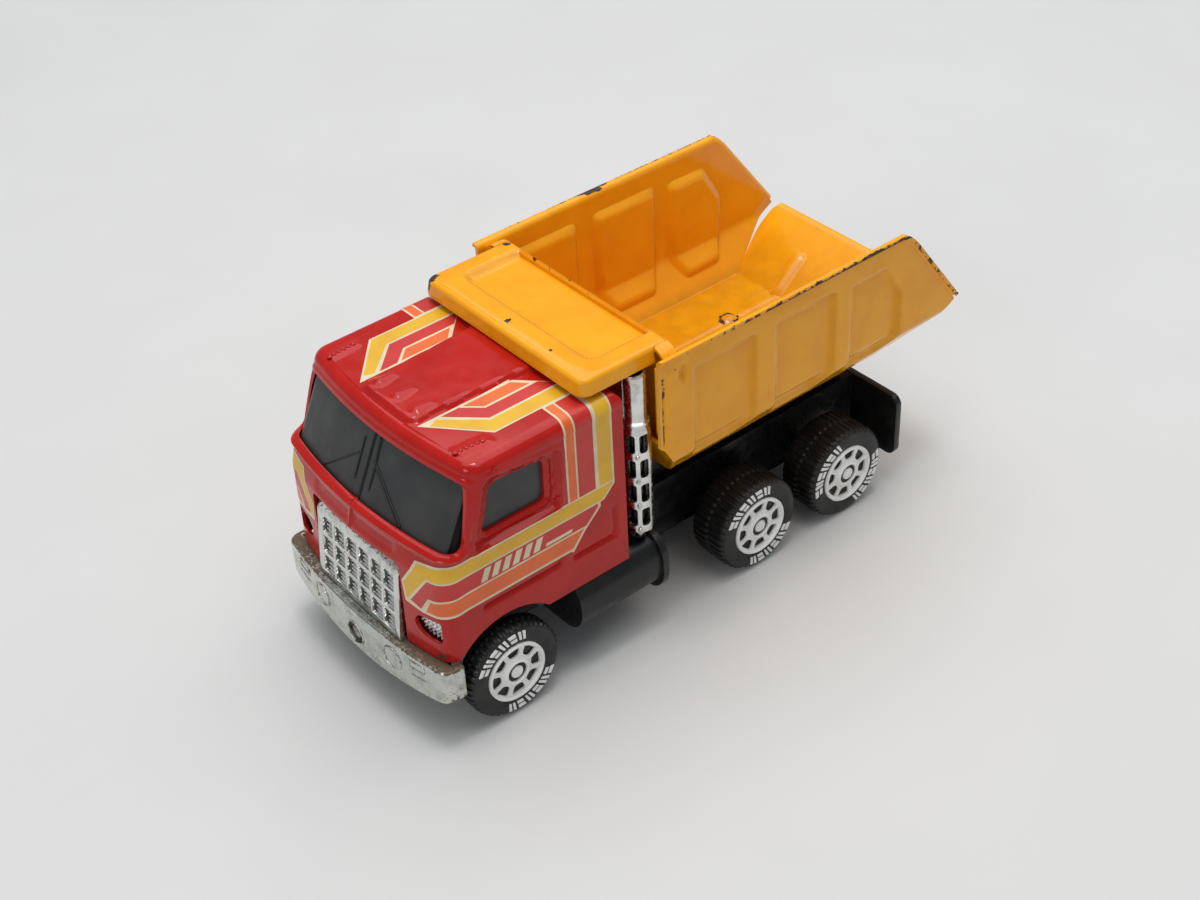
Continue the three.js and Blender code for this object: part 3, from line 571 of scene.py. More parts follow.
RED = enamel("red_enamel", (0.50, 0.011, 0.007), (0.44, 0.008, 0.005), 0.8)
ORANGE = enamel("orange_enamel", (0.94, 0.41, 0.009), (0.89, 0.36, 0.007), 1.7)
CHROME = chrome_plate("worn_chrome", 0.45, 0.16, 0.95, (0.62, 0.635, 0.59), (0.44, 0.455, 0.40))
GRILLE_CHROME = chrome_plate("grille_chrome", 0.46, 0.12, 0.35, (0.70, 0.705, 0.68), (0.52, 0.53, 0.49))
STACK_CHROME = chrome_plate("stack_chrome", 0.42, 0.15, 0.15, (0.76, 0.765, 0.74), (0.58, 0.59, 0.545))
BLACK = moulded_plastic("black_plastic", (0.0045, 0.0048, 0.005), (0.009, 0.0095, 0.009), 0.30, 0.5)
TYRE = moulded_plastic("tyre_plastic", (0.0065, 0.0065, 0.0065), (0.013, 0.013, 0.0125), 0.44)
WHITE = moulded_plastic(
    "white_plastic", (0.92, 0.915, 0.89), (0.84, 0.835, 0.80), 0.38, grain=0.4, dust=(0.30, 0.29, 0.25),
)
GLAZING = glazing_plastic("dark_glazing")
STEEL = plated_steel("plated_steel")
CREAM = decal_film("decal_cream", (0.76, 0.68, 0.45), (0.66, 0.58, 0.37))
YELLOW = decal_film("decal_yellow", (0.80, 0.46, 0.012), (0.74, 0.40, 0.012))
VERMILION = decal_film("decal_red", (0.60, 0.025, 0.018), (0.54, 0.02, 0.016))
TANGERINE = decal_film("decal_orange", (0.82, 0.15, 0.022), (0.76, 0.12, 0.02))

# ---------- cab ----------
SHEET = 0.7
CAB_HALF = CAB_HIGH[0]
CAB_REAR = CAB_HIGH[1]
CAB_BOTTOM = CAB_LOW[2]
ROOF_Z = 64.4
ROOF_RADIUS = 2.4
NOSE_PROFILE = ((CAB_BOTTOM, -70.45), (41.0, -70.15), (46.4, -68.75), (61.9, -61.5))
NOSE_BOW = 0.004
NOSE_CORNER = 4.2
CAB_STEPS = (42, 12, 78)  # in half the nose, a corner and a side
BACK_STEPS = 96
SILL_Z = 46.9
WINDSCREEN_TOP_Z = 60.8
WINDSCREEN = (
    (-FAR, SILL_Z, 0.1), (-62.2, SILL_Z, 1.9), (-58.7, WINDSCREEN_TOP_Z, 1.7), (-FAR, WINDSCREEN_TOP_Z, 0.1),
)
WINDOW_FRAME = ((-55.5, 60.7), (-37.7, 58.7), (-38.6, 45.2), (-59.4, 44.9))
WINDOW = ((-53.7, 58.3), (-41.0, 57.4), (-41.2, 47.4), (-56.6, 47.4))
LAMP = (
    (25.4, 24.9, 0.7), (25.4, 30.6, 0.7), (19.3, 29.9, 1.4),
    (18.1, 27.6, 1.6), (19.3, 25.7, 1.6), (21.6, 24.9, 1.6),
)
ARCH_RADIUS = 15
NOTCH = ((-15.3, 10, 0.1), (15.3, 10, 0.1), (15.3, 40.4, 1.8), (-15.3, 40.4, 1.8))
DOOR_LINE = ((-58.3, 30.5), (-39.9, 30.5), (-39.0, 31.5))
PANEL_LINE = ((-35.9, 30.1), (-25.1, 30.1), (-25.1, 37.4))
ROOF_PANEL = ((8.5, -58.3), (10.3, -20.0), (-10.3, -20.0), (-8.5, -58.3))
MARKERS = (-6.3, 0.0, 6.3)
MARKER_FRONT_Y, MARKER_REAR_Y = -55.4, -52.0
BEAD_START, BEAD_STEP, BEADS = (21.3, -57.3), (0.11, 1.2), 6
PIP_PLACE = (27.55, -52.9, 62.0)
HEADER_Z = 61.6
NOSE_BAND = ((0.75, 41.7), (13.8, 41.7), (13.8, 44.5), (0.75, 44.5))


def nose_y(z):
    return np.interp(z, [row[0] for row in NOSE_PROFILE], [row[1] for row in NOSE_PROFILE])


def half_plan(half, front, rear, radius, bow, steps):
    """The left half of a plan, from the middle of its bowed front round to its rear corner."""
    turn = math.atan(2 * bow * (half - radius))
    edge = half - radius * (1 - math.sin(turn))
    centre_y = front + bow * edge**2 + radius * math.cos(turn)
    x = np.linspace(0, edge, steps[0] + 1)
    angle = np.linspace(1.5 * math.pi + turn, 2 * math.pi, steps[1] + 1)[1:]
    y = np.linspace(centre_y, rear, steps[2] + 1)[1:]
    xs = np.concatenate([x, half - radius + radius * np.cos(angle), np.full(steps[2], half)])
    ys = np.concatenate([front + bow * x**2, centre_y + radius * np.sin(angle), y])
    return np.stack([xs, ys], axis=1)


def closed_loop(left, back_steps, z):
    """A closed loop at one height, from the left half of its plan."""
    corner_x, rear_y = left[-1]
    across = np.linspace(corner_x, -corner_x, back_steps + 1)[1:-1]
    back = np.stack([across, np.full(len(across), rear_y)], axis=1)
    flat = np.concatenate([left, back, left[:0:-1] * (-1, 1)])
    return np.column_stack([flat, np.full(len(flat), z)])


def loop_corners(steps, back_steps):
    """The four corners of the patch over such loops, as capped_skin wants them."""
    front, corner, side = steps
    first = front + corner // 2
    second = front + corner + side
    third = second + back_steps
    return first, second, third, third + side + corner // 2


def cab_plan(z, inset, front=None):
    """The left half of the cab's plan at one height, moved inwards by inset."""
    front = nose_y(z) if front is None else front
    radius = max(NOSE_CORNER - inset, 1.2)
    return half_plan(CAB_HALF - inset, front + inset, CAB_REAR - inset, radius, NOSE_BOW, CAB_STEPS)


def cab_levels():
    """Heights of the loops of the cab's walls, closest where the relief is finest."""
    ends = (CAB_BOTTOM, 43.4, 48.6, 59.2, ROOF_Z - ROOF_RADIUS)
    levels = []
    for low, high, step in zip(ends, ends[1:], (0.62, 0.36, 0.62, 0.4)):
        levels += list(np.linspace(low, high, max(2, round((high - low) / step)), endpoint=False))
    return levels


def cab_relief(x, y, z):
    """How far the pressing of the cab's walls stands out of its plain shape."""
    side = ease(np.abs(x), 26.2, 27.2)
    nose = ease(-y, 58, 62) * (1 - ease(np.abs(x), 25.5, 27.3))
    to_frame = outline_distance(y, z, rounded(WINDOW_FRAME, 1.6))
    to_window = outline_distance(y, z, rounded(WINDOW, 1.6))
    relief = side * (0.3 * bump(to_frame, 0.6, 0.95) - 1.15 * ease(-to_frame, -0.15, 0.6))
    relief += side * (0.4 * bump(to_window, 0.75, 0.75) - 0.6 * bump(to_window, -0.5, 1.0))
    to_glass = outline_distance(y, z, rounded(WINDSCREEN, 1.6))
    relief += 0.85 * bump(to_glass, 0.9, 1.25) * (1 - ease(z, 48.0, 54.5))
    relief += 0.25 * bump(to_glass, 0.8, 0.9) * ease(z, 59.8, 60.8)
    relief -= 0.55 * nose * bump(np.abs(x), 0, 0.42) * ease(z, 40.2, 41) * (1 - ease(z, 47.0, 47.4))
    band = outline_distance(np.abs(x), z, NOSE_BAND)
    relief -= 0.24 * nose * ease(-band, -0.1, 0.35)
    relief += 0.16 * side * bump(z, HEADER_Z, 0.8) * ease(y, -57.5, -55.5)
    for line in (DOOR_LINE, PANEL_LINE):
        relief -= 0.75 * side * bump(line_distance(y, z, line), 0, 0.9)
    return relief


def roof_relief(x, y):
    """How high the pressing of the roof stands over its flat edge."""
    panel = outline_distance(x, y, rounded(ROOF_PANEL, 2.2))
    height = 1.0 * ease(-panel, -0.55, 0.45) * (1 - ease(y, -27, -24.6))
    height += 0.2 * (1 - (x / 26) ** 2) * ease(-y, 24.6, 30)
    for middle in MARKERS:
        along = np.clip((y - MARKER_FRONT_Y) / (MARKER_REAR_Y - MARKER_FRONT_Y), 0, 1)
        width = 1.35 - 0.7 * along
        near = segment_distance(x, y, (middle, MARKER_FRONT_Y), (middle, MARKER_REAR_Y))
        height += (0.72 - 0.32 * along) * (1 - ease(near, 0.0, width + 0.5))
    ridge = segment_distance(np.abs(x), y, (21.3, -57.6), (21.9, -50.8))
    height += 0.3 * (1 - ease(ridge, 0.2, 1.9))
    return height


def cab_openings():
    """The cutters for everything that is open in the cab's sheet."""
    axle_y = AXLES["front"][0]
    side_openings = [arc((axle_y, WHEEL_RADIUS), ARCH_RADIUS, 0, 360, 60)[:-1]]
    side_openings += [rounded(WINDSCREEN, 1), rounded(WINDOW, 1.7)]
    nose_openings = [rounded(NOTCH, 1)]
    nose_openings += [rounded([(side * u, v, r) for u, v, r in LAMP], 1) for side in SIDES]
    skirt = block((-FAR, axle_y, 0), (FAR, 0, 22))
    back = block((-CAB_HALF + 1.2, CAB_REAR - 3, 0), (CAB_HALF - 1.2, CAB_REAR + 3, 25))
    arch, screen, window = (prism(outline, "x", -FAR, FAR) for outline in side_openings)
    notch, *lamps = (prism(outline, "y", -FAR, -60) for outline in nose_openings)
    return [arch, skirt, back, notch, screen, window, *lamps]


def cab_wear(x, y, z):
    header = bump(z, 61.9, 1.3) * ease(-y, 58.5, 60.5) * 0.42
    corner = 0.75 * bump(np.hypot(x - 24.5, (z - 21.6) * 1.2), 0, 3.6) * ease(-y, 62, 64)
    beads = 0.35 * bump(np.hypot(np.abs(x) - 21.5, (y + 57) * 0.6), 0, 2)
    return header + corner + beads + 0.3 * bump(z, SILL_Z, 0.5) * ease(-y, 55, 58)


def cab_shell():
    loops = [closed_loop(cab_plan(z, 0), BACK_STEPS, z) for z in cab_levels()]
    for angle in np.radians(range(0, 91, 10)):
        z = ROOF_Z - ROOF_RADIUS * (1 - math.sin(angle))
        plan = cab_plan(z, ROOF_RADIUS * (1 - math.cos(angle)), NOSE_PROFILE[-1][1])
        loops.append(closed_loop(plan, BACK_STEPS, z))
    skin = capped_skin("cab_pressing", loops, loop_corners(CAB_STEPS, BACK_STEPS), cab_relief, roof_relief)
    thicken(face_as(skin, None), SHEET)
    combine(skin, cab_openings())
    wear(skin, cab_wear)
    dress(skin, RED, "truck", ["cab_shell"])


def cab_details():
    """The beads on the roof's corners and the small pip over each door."""
    parts = []
    ring = [(0.75, -0.1), (0.85, 0.12), (0.7, 0.26), (0.45, 0.22), (0.32, 0.02), (0.001, 0.0)]
    for side in SIDES:
        for i in range(BEADS):
            x = side * (BEAD_START[0] + i * BEAD_STEP[0])
            y = BEAD_START[1] + i * BEAD_STEP[1]
            size = 0.62 if i in (0, BEADS - 1) else 0.5
            crown = [(size * math.cos(t), size * 0.45 * math.sin(t)) for t in (-0.5, 0, 0.45, 0.9, 1.25)]
            bead = turned([(0.001, -0.5), *crown, (0.001, size * 0.45)], "z", 14)
            bead.data.transform(shift(x, y, ROOF_Z + float(roof_relief(np.array(x), np.array(y)))))
            parts.append(bead)
        pip = turned([(0.001, -0.1), *ring], "x", 20)
        pip.data.transform(shift(side * PIP_PLACE[0], *PIP_PLACE[1:]))
        parts.append(pip)
    details = join(parts, "cab_beads")
    wear(details, 0.12)
    dress(details, RED, "truck", sharp=60)


# ---------- decals ----------
CORNER_TURN = math.atan(2 * NOSE_BOW * (CAB_HALF - NOSE_CORNER))
CORNER_ARC = (math.pi / 2 - CORNER_TURN) * NOSE_CORNER
CORNER_EDGE = CAB_HALF - NOSE_CORNER * (1 - math.sin(CORNER_TURN))
ROOF_FLAT = CAB_HALF - ROOF_RADIUS
ROOF_ARC = ROOF_RADIUS * math.pi / 2
BELT_TOP_Z = 44.75


def wall_point(w, z, lift):
    """A point on the left wall. w is Y on the flat side, and goes on round the corner and across the nose."""
    front = float(nose_y(z))
    centre_y = front + NOSE_BOW * CORNER_EDGE**2 + NOSE_CORNER * math.cos(CORNER_TURN)
    if w >= centre_y:
        point, normal = (CAB_HALF, w), (1.0, 0.0)
    elif w >= centre_y - CORNER_ARC:
        angle = (w - centre_y) / NOSE_CORNER
        normal = (math.cos(angle), math.sin(angle))
        point = (CAB_HALF - NOSE_CORNER * (1 - normal[0]), centre_y + NOSE_CORNER * normal[1])
    else:
        x = CORNER_EDGE - (centre_y - CORNER_ARC - w) * math.cos(CORNER_TURN * 0.8)
        slope = 2 * NOSE_BOW * x
        normal = (slope / math.hypot(slope, 1), -1 / math.hypot(slope, 1))
        point = (x, front + NOSE_BOW * x * x)
    relief = float(cab_relief(np.array(point[0]), np.array(point[1]), np.array(z)))
    return (point[0] + normal[0] * (lift + relief), point[1] + normal[1] * (lift + relief), z)


def roof_point(s, y, lift):
    """A point over the left of the roof. s is X on the flat, and goes on over the edge and down the side."""
    if s <= ROOF_FLAT:
        return (s, y, ROOF_Z + lift + float(roof_relief(np.array(s), np.array(y))))
    angle = min((s - ROOF_FLAT) / ROOF_RADIUS, math.pi / 2)
    down = max(s - ROOF_FLAT - ROOF_ARC, 0)
    z = ROOF_Z - ROOF_RADIUS * (1 - math.cos(angle)) - down
    relief = float(cab_relief(np.array(CAB_HALF), np.array(y), np.array(z))) * math.sin(angle)
    reach = ROOF_RADIUS + lift
    return (ROOF_FLAT + reach * math.sin(angle) + relief, y, z + lift * math.cos(angle))


def decal(name, outlines, place, lift, material, cell=0.6):
    """Film cut to flat outlines, diced into cells and laid on the surface that place gives."""
    work = bmesh.new()
    for outline in outlines:
        work.faces.new([work.verts.new((u, v, 0)) for u, v in outline])
    for direction in (0, 1):
        dice(work, direction, cell, cell)
    bmesh.ops.triangulate(work, faces=[f for f in work.faces if len(f.verts) > 4])
    for vert in work.verts:
        vert.co = Vector(place(vert.co[0], vert.co[1], lift)) * MM
    obj = add_object(name + "_left", bpy.data.meshes.new(name))
    work.to_mesh(obj.data)
    work.free()
    thicken(face_as(obj, np.array([1.0, -0.3, 1.0])), 0.05)
    for piece in (obj, mirrored(obj, name + "_right")):
        dress(piece, material, "truck", sharp=50)


DOWN = ROOF_FLAT + ROOF_ARC + (ROOF_Z - ROOF_RADIUS)  # roof_point's s is DOWN - z on the side
BELT_S = DOWN - BELT_TOP_Z

BELT = {
    "cream": [
        [(-73.4, 43.5), (-66.7, 44.5), (-62, BELT_TOP_Z), (-24.9, BELT_TOP_Z), (-24.9, 43.75),
         (-27.7, 40.95), (-28.75, 40.8), (-28.7, 39.75), (-33.2, 35.5), (-36.1, 31.9), (-36.8, 32.35),
         (-62, 32.4), (-67, 31.95), (-72.9, 31.3), (-77.5, 31.9), (-78.0, 36.8)],
    ],
    "yellow": [
        [(-73.0, 43.0), (-66.6, 44.0), (-62, 44.3), (-25.4, 44.3), (-25.4, 43.9), (-28.1, 41.2), (-62, 41.2),
         (-67.3, 41.0), (-70.8, 40.85), (-76.9, 32.7), (-77.4, 36.7)],
    ],
    "red": [
        [(-70.5, 40.3), (-67.3, 40.5), (-62, 40.7), (-29.4, 40.7), (-29.4, 40.0), (-32.6, 36.9), (-62, 36.9),
         (-67.0, 36.45), (-70.8, 35.8), (-73.1, 32.1), (-75.9, 32.9)],
    ],
    "orange": [
        [(-70.2, 35.2), (-67, 35.95), (-62, 36.4), (-33.2, 36.4), (-34.0, 35.5), (-36.2, 32.95), (-62, 33.0),
         (-67, 32.6), (-71.7, 32.15)],
    ],
}
CREST = {
    "cream": [
        [(9.7, -57.8), (21.15, -47.9), (21.15, -36.65), (BELT_S, -36.65), (BELT_S, -24.9), (17.0, -24.9),
         (16.6, -29.0), (10.2, -35.1), (9.75, -36.0)],
    ],
    "yellow": [
        [(11.3, -55.9), (20.7, -47.6), (20.7, -28.75), (BELT_S, -28.75), (BELT_S, -25.4),
         (17.4, -25.4), (17.4, -46.2), (10.5, -53.8)],
    ],
    "red": [
        [(10.3, -52.6), (16.8, -45.9), (16.8, -28.9), (13.8, -31.9), (13.8, -44.6), (10.3, -48.4)],
        [(21.5, -33.85), (BELT_S, -33.85), (BELT_S, -29.7), (21.5, -29.7)],
    ],
    "orange": [
        [(10.4, -47.4), (13.2, -44.4), (13.2, -33.4), (10.4, -36.0)],
        [(21.5, -36.2), (BELT_S, -36.2), (BELT_S, -34.3), (21.5, -34.3)],
    ],
}
FILMS = (  # material and height over the sheet; the cream film lies under the others
    ("cream", CREAM, 0.06), ("yellow", YELLOW, 0.10), ("red", VERMILION, 0.10), ("orange", TANGERINE, 0.10),
)
BARS_LOW_Z, BARS_HIGH_Z = 37.3, 40.3
BARS_START_Y, BAR_PITCH, BARS = -58.8, 2.55, 6


def door_bars():
    """Plain slanted bars and one thin line on the red band."""
    low, high = BARS_LOW_Z, BARS_HIGH_Z
    starts = [BARS_START_Y + i * BAR_PITCH for i in range(BARS)]
    bars = [[(y, low), (y + 1.55, low), (y + 2.75, high), (y + 1.2, high)] for y in starts]
    return [*bars, [(-42.9, low), (-36.4, low), (-36.1, low + 0.7), (-42.6, low + 0.7)]]


def decals():
    for color, material, lift in FILMS:
        decal("belt_" + color, BELT[color], wall_point, lift, material)
        decal("crest_" + color, CREST[color], roof_point, lift, material)
    decal("door_bars", door_bars(), wall_point, 0.14, CREAM)


# ---------- glazing ----------
GLASS_INSET = 1.2
GLASS_THICKNESS = 1.2
GLASS_LOW_Z, GLASS_HIGH_Z = 45.4, 61.9
WIPERS = (  # radius, then corners as (x, z): the bar, the blades and the arms
    (0.38, (0.15, 47.0), (0.15, 60.4)),
    (0.34, (-2.55, 49.7), (-2.55, 57.6)),
    (0.34, (2.5, 49.7), (2.5, 53.9)),
    (0.42, (13.2, 47.1), (2.4, 54.6), (2.1, 59.3)),
    (0.22, (-13.2, 47.1), (-2.9, 54.6)),
)


def cab_glazing():
    keep = CAB_STEPS[0] + CAB_STEPS[1] + round(CAB_STEPS[2] * 0.66)
    rows = []
    for z in np.linspace(GLASS_LOW_Z, GLASS_HIGH_Z, 34):
        left = cab_plan(z, GLASS_INSET)[:keep]
        flat = np.concatenate([left[:0:-1] * (-1, 1), left])
        flat[:, 0] -= np.sign(flat[:, 0]) * 0.95 * ease(np.abs(flat[:, 0]), 25.4, 26.25)
        rows.append(np.column_stack([flat, np.full(len(flat), z)]))
    glass = open_sheet("glazing", rows)
    thicken(face_as(glass, None), GLASS_THICKNESS)
    dress(glass, GLAZING, "truck", ["cab_glazing"])


def on_screen(x, z):
    """A point on the windscreen moulding."""
    return (x, float(nose_y(z)) + GLASS_INSET + NOSE_BOW * x * x, z)


def screen_details():
    """The centre bar and the wipers moulded on the windscreen."""
    parts = []
    for radius, *corners in WIPERS:
        points = []
        for a, b in zip(corners, corners[1:]):
            steps = max(3, round(math.dist(a, b) / 0.7))
            points += np.linspace(a, b, steps)[:-1].tolist()
        points = [on_screen(x, z) for x, z in [*points, corners[-1]]]
        parts.append(tube(points, radius, up=(0, -1, 0.4), flat=0.8))
    dress(join(parts, "wipers"), BLACK, "truck", sharp=60)


# ---------- front end ----------
CELL_COLUMNS, CELL_ROWS, LOUVRES = 6, 3, 4
CELLS_HALF, CELLS_BOTTOM_Z, CELL_HEIGHT, CELL_BAR = 13.1, 21.8, 4.9, 0.85
CELL_WIDTH = 2 * CELLS_HALF / CELL_COLUMNS
GRILLE_BEND_Z = 36.4


def grille_face_y(z):
    front = GRILLE_LOW[1]
    return float(np.interp(z, (GRILLE_LOW[2], GRILLE_BEND_Z), (front, front + 1.7)))


def grille():
    (_, front, bottom), (half, back, top) = GRILLE_LOW, GRILLE_HIGH
    bend = (grille_face_y(GRILLE_BEND_Z), GRILLE_BEND_Z + 0.2)
    side = [(front, bottom), bend, (front + 2.9, top), (back, top), (back, bottom)]
    body = prism(side, "x", -half, half, "grille_frame")
    cutters, blades, shade_blocks = [], [], []
    for column, row in itertools.product(range(CELL_COLUMNS), range(CELL_ROWS)):
        x0 = -CELLS_HALF + column * CELL_WIDTH + CELL_BAR / 2
        x1 = x0 + CELL_WIDTH - CELL_BAR
        z0 = CELLS_BOTTOM_Z + row * CELL_HEIGHT
        z1 = z0 + CELL_HEIGHT - CELL_BAR
        face = grille_face_y((z0 + z1) / 2)
        cutters.append(block((x0, -FAR, z0), (x1, face + 1.5, z1)))
        for z in np.linspace(z0, z1, LOUVRES, endpoint=False) + 0.25 * (z1 - z0) / LOUVRES:
            y = grille_face_y(z)
            outline = [(y + 0.25, z - 0.1), (y + 0.25, z + 0.15), (y + 1.6, z + 0.78), (y + 1.6, z - 0.1)]
            blades.append(prism(outline, "x", x0 + 1.15, x1 + 0.05))
        # Painted shade: a black block fills the left of each cell, standing for the dark depth behind the
        # louvres.
        shade_blocks.append(block((x0 - 0.05, face + 0.45, z0 - 0.05), (x0 + 1.1, face + 1.75, z1 + 0.05)))
    combine(body, cutters)
    bevel(body, 0.14, 2)
    slice_up(body, 1.1)
    wear(body, lambda x, y, z: 0.62 * ease(z, 36.2, 38.2) + 0.7 * bump(np.hypot(x + 6, z - 31.5), 0, 3.5))
    dress(body, GRILLE_CHROME, "truck", ["grille"])
    dress(join(shade_blocks, "grille_shade_blocks"), BLACK, "truck")
    louvres = join(blades, "grille_louvres")
    bevel(louvres, 0.07, 1)
    wear(louvres, lambda x, y, z: 0.45 * bump(np.hypot(x + 6, z - 32), 0, 6))
    dress(louvres, STACK_CHROME, "truck")


BUMPER_BOW = 0.0032
BUMPER_CORNER = 2.8
BUMPER_INNER_Y = -67.2
RECESS_Z = 14


def bumper_point(x, z):
    """A point on the bumper's bowed face."""
    return (x, BUMPER_LOW[1] + BUMPER_BOW * x * x, z)


def bumper_wear(x, y, z):
    top, bottom = BUMPER_HIGH[2], BUMPER_LOW[2] + BUMPER_BOW * x * x
    ledge = 0.8 * ease(z, top - 0.9, top) * ease(np.abs(x), 2, 16)
    return ledge + 0.55 * bump(z, bottom, 1.1) + 0.3 * ease(np.abs(x), 27.4, 28.6)


def front_bumper():
    half, back, top = BUMPER_HIGH
    edge, inner = half - BUMPER_CORNER, half - 1.6
    xs = np.linspace(-edge, edge, 49)
    corner = (edge, bumper_point(edge, 0)[1] + BUMPER_CORNER)
    left = [*arc(corner, BUMPER_CORNER, -76, 0, 7)[1:], (half, back), (inner, back), (inner, BUMPER_INNER_Y)]
    plan = [bumper_point(x, 0)[:2] for x in xs] + left + [(-x, y) for x, y in left[::-1]]
    low = [(x, BUMPER_LOW[2] + BUMPER_BOW * x * x) for x in xs]
    rise = low[-1][1] + 0.7
    elevation = [*low, (half + 1, rise), (half + 1, top), (-half - 1, top), (-half - 1, rise)]
    body = prism(plan, "z", 0, top, "bumper")
    combine(body, [prism(elevation, "y", -FAR, -50)], "INTERSECT")
    bevel(body, 0.5, 4, 40)
    pocket = turned([(0.001, -75), (2.5, -75), (2.5, -71.35), (0.001, -71.35)], "y", 40)
    pocket.data.transform(shift(0, 0, RECESS_Z))
    combine(body, [pocket])
    slice_up(body, 0.9)
    wear(body, bumper_wear)
    dress(body, CHROME, "truck", ["front_bumper"])


def bumper_details():
    """Raised rings, boxes and bars on the bumper's face."""
    def ring(x, z, radius, start, end):
        return [(x + radius * math.cos(t), z + radius * math.sin(t)) for t in np.linspace(start, end, 40)]

    lines = []
    for side in SIDES:
        left, right = side * 18.2, side * 22.6
        box = rounded([(left, 16.9), (right, 17.2), (right, 19.0), (left, 18.7)], 0.35, 3)
        bar = [(side * x, 15.2 + (x - 21) * 0.1) for x in np.linspace(18.6, 23, 8)]
        lines += [(0.26, ring(side * 12.7, 15.6, 2.7, 0.35, 6.6)), (0.2, [*box, box[0]]), (0.16, bar)]
    lines.append((0.22, ring(0, RECESS_Z, 2.75, 0, 2 * math.pi)))
    parts = [tube([bumper_point(*p) for p in line], radius, up=(0, -1, 0)) for radius, line in lines]
    details = join(parts, "bumper_marks")
    wear(details, 0.4)
    dress(details, CHROME, "truck", sharp=60)


LENS_X, LENS_Z, FACET = (17.2, 26.1), (23.6, 31.4), 1.1


def headlamps():
    """Lenses moulded with rows of small pyramids."""
    for side, name in zip(SIDES, SIDE_NAMES):
        x, z = np.meshgrid(np.linspace(*LENS_X, 66), np.linspace(*LENS_Z, 60))
        y = nose_y(z) + 1.75 + NOSE_BOW * x * x + 0.35 * np.maximum(0.0, x - 23.5) ** 2
        facet = np.maximum(np.abs(x / FACET % 1 - 0.5), np.abs(z / FACET % 1 - 0.5))
        rows = np.stack([side * x, y - 0.9 * (0.5 - facet), z], axis=2)
        lens = open_sheet("headlamp_lens_" + name, rows)
        thicken(face_as(lens, np.array([0.0, -1.0, 0.0])), 0.8)
        wear(lens, 0.1)
        dress(lens, STACK_CHROME, "truck", ["headlamp_" + name], sharp=20)


# ---------- stacks ----------
STACK_X, STACK_Y = 25.0, -16.85
COLLAR_Z = 54.2
SHIELD_RADIUS, PIPE_RADIUS = 3.0, 2.4
SLOT_TOP_Z, SLOT_PITCH, SLOT_HEIGHT, SLOT_WIDTH = 51.8, 6.25, 4.5, 1.95
SLOT_HEADINGS, SLOT_ROWS = (0.46, 1.42), 5


def stack_profile():
    """The outline of a stack and its shield, up the outside and down the inside."""
    foot, top, shield, pipe, collar = STACK_LOW[2], STACK_HIGH[2], SHIELD_RADIUS, PIPE_RADIUS, COLLAR_Z
    return [
        (1.5, foot), (shield - 0.3, foot + 2.6), (shield, foot + 3.6), (shield, collar - 2.2),
        (shield - 0.35, collar - 1.3), (shield - 0.45, collar - 0.7), (shield - 0.05, collar - 0.4),
        (shield - 0.05, collar + 0.1), (pipe + 0.1, collar + 0.4), (pipe, collar + 1.0), (pipe, top - 0.5),
        (pipe - 0.25, top), (pipe - 0.7, top), (pipe - 0.7, collar), (shield - 0.8, collar - 1.6),
        (shield - 0.8, foot + 3.6), (1.0, foot + 0.4),
    ]


def exhaust_stack(side, name):
    stack = turned(stack_profile(), "z", 56, "stack_shield_" + name)
    half, bottom, top = SLOT_WIDTH / 2, SLOT_TOP_Z - SLOT_HEIGHT, SLOT_TOP_Z
    slot = rounded([(-half, bottom), (half, bottom), (half, top), (-half, top)], 0.7, 4)
    cutters, studs = [], []
    for heading, row in itertools.product(SLOT_HEADINGS, range(SLOT_ROWS)):
        cutter = prism([(x, z - row * SLOT_PITCH) for x, z in slot], "y", -6, -0.4)
        cutter.data.transform(Matrix.Rotation(heading, 4, "Z"))
        cutters.append(cutter)
    combine(stack, cutters)
    head = [(0.001, -0.45), (0.3, -0.4), (0.48, -0.2), (0.5, 0.3), (0.001, 0.3)]
    for row in range(SLOT_ROWS - 1):
        z = SLOT_TOP_Z - SLOT_HEIGHT - (SLOT_PITCH - SLOT_HEIGHT) / 2 - row * SLOT_PITCH
        stud = turned([(r, y - SHIELD_RADIUS) for r, y in head], "y", 14)
        stud.data.transform(Matrix.Rotation(sum(SLOT_HEADINGS) / 2, 4, "Z") @ shift(0, 0, z))
        studs.append(stud)
    stack = join([stack, *studs], "stack_shield_" + name)
    foot, end = STACK_LOW[2] + 2, COLLAR_Z + 2
    core = turned([(0.001, foot), (1.5, foot), (1.5, end), (0.001, end)], "z", 24, "stack_core_" + name)
    for piece in (stack, core):
        if side < 0:
            piece.data.transform(FLIP)
            piece.data.flip_normals()
        piece.data.transform(shift(side * STACK_X, STACK_Y, 0))
    wear(stack, lambda x, y, z: 0.15 + 0.35 * bump(z, COLLAR_Z - 0.8, 0.8))
    dress(stack, STACK_CHROME, "truck", ["exhaust_stack_" + name], sharp=42)
    dress(core, BLACK, "truck")


# ---------- wheels ----------
SIDEWALL_X = 29.0
LUGS = 44
HUB_FACE_X = SIDEWALL_X + 0.45
HUB_HOLES = 8
WHEEL_SPINS = {"front": 25, "mid": 205, "rear": 240}  # degrees that each left wheel has rolled


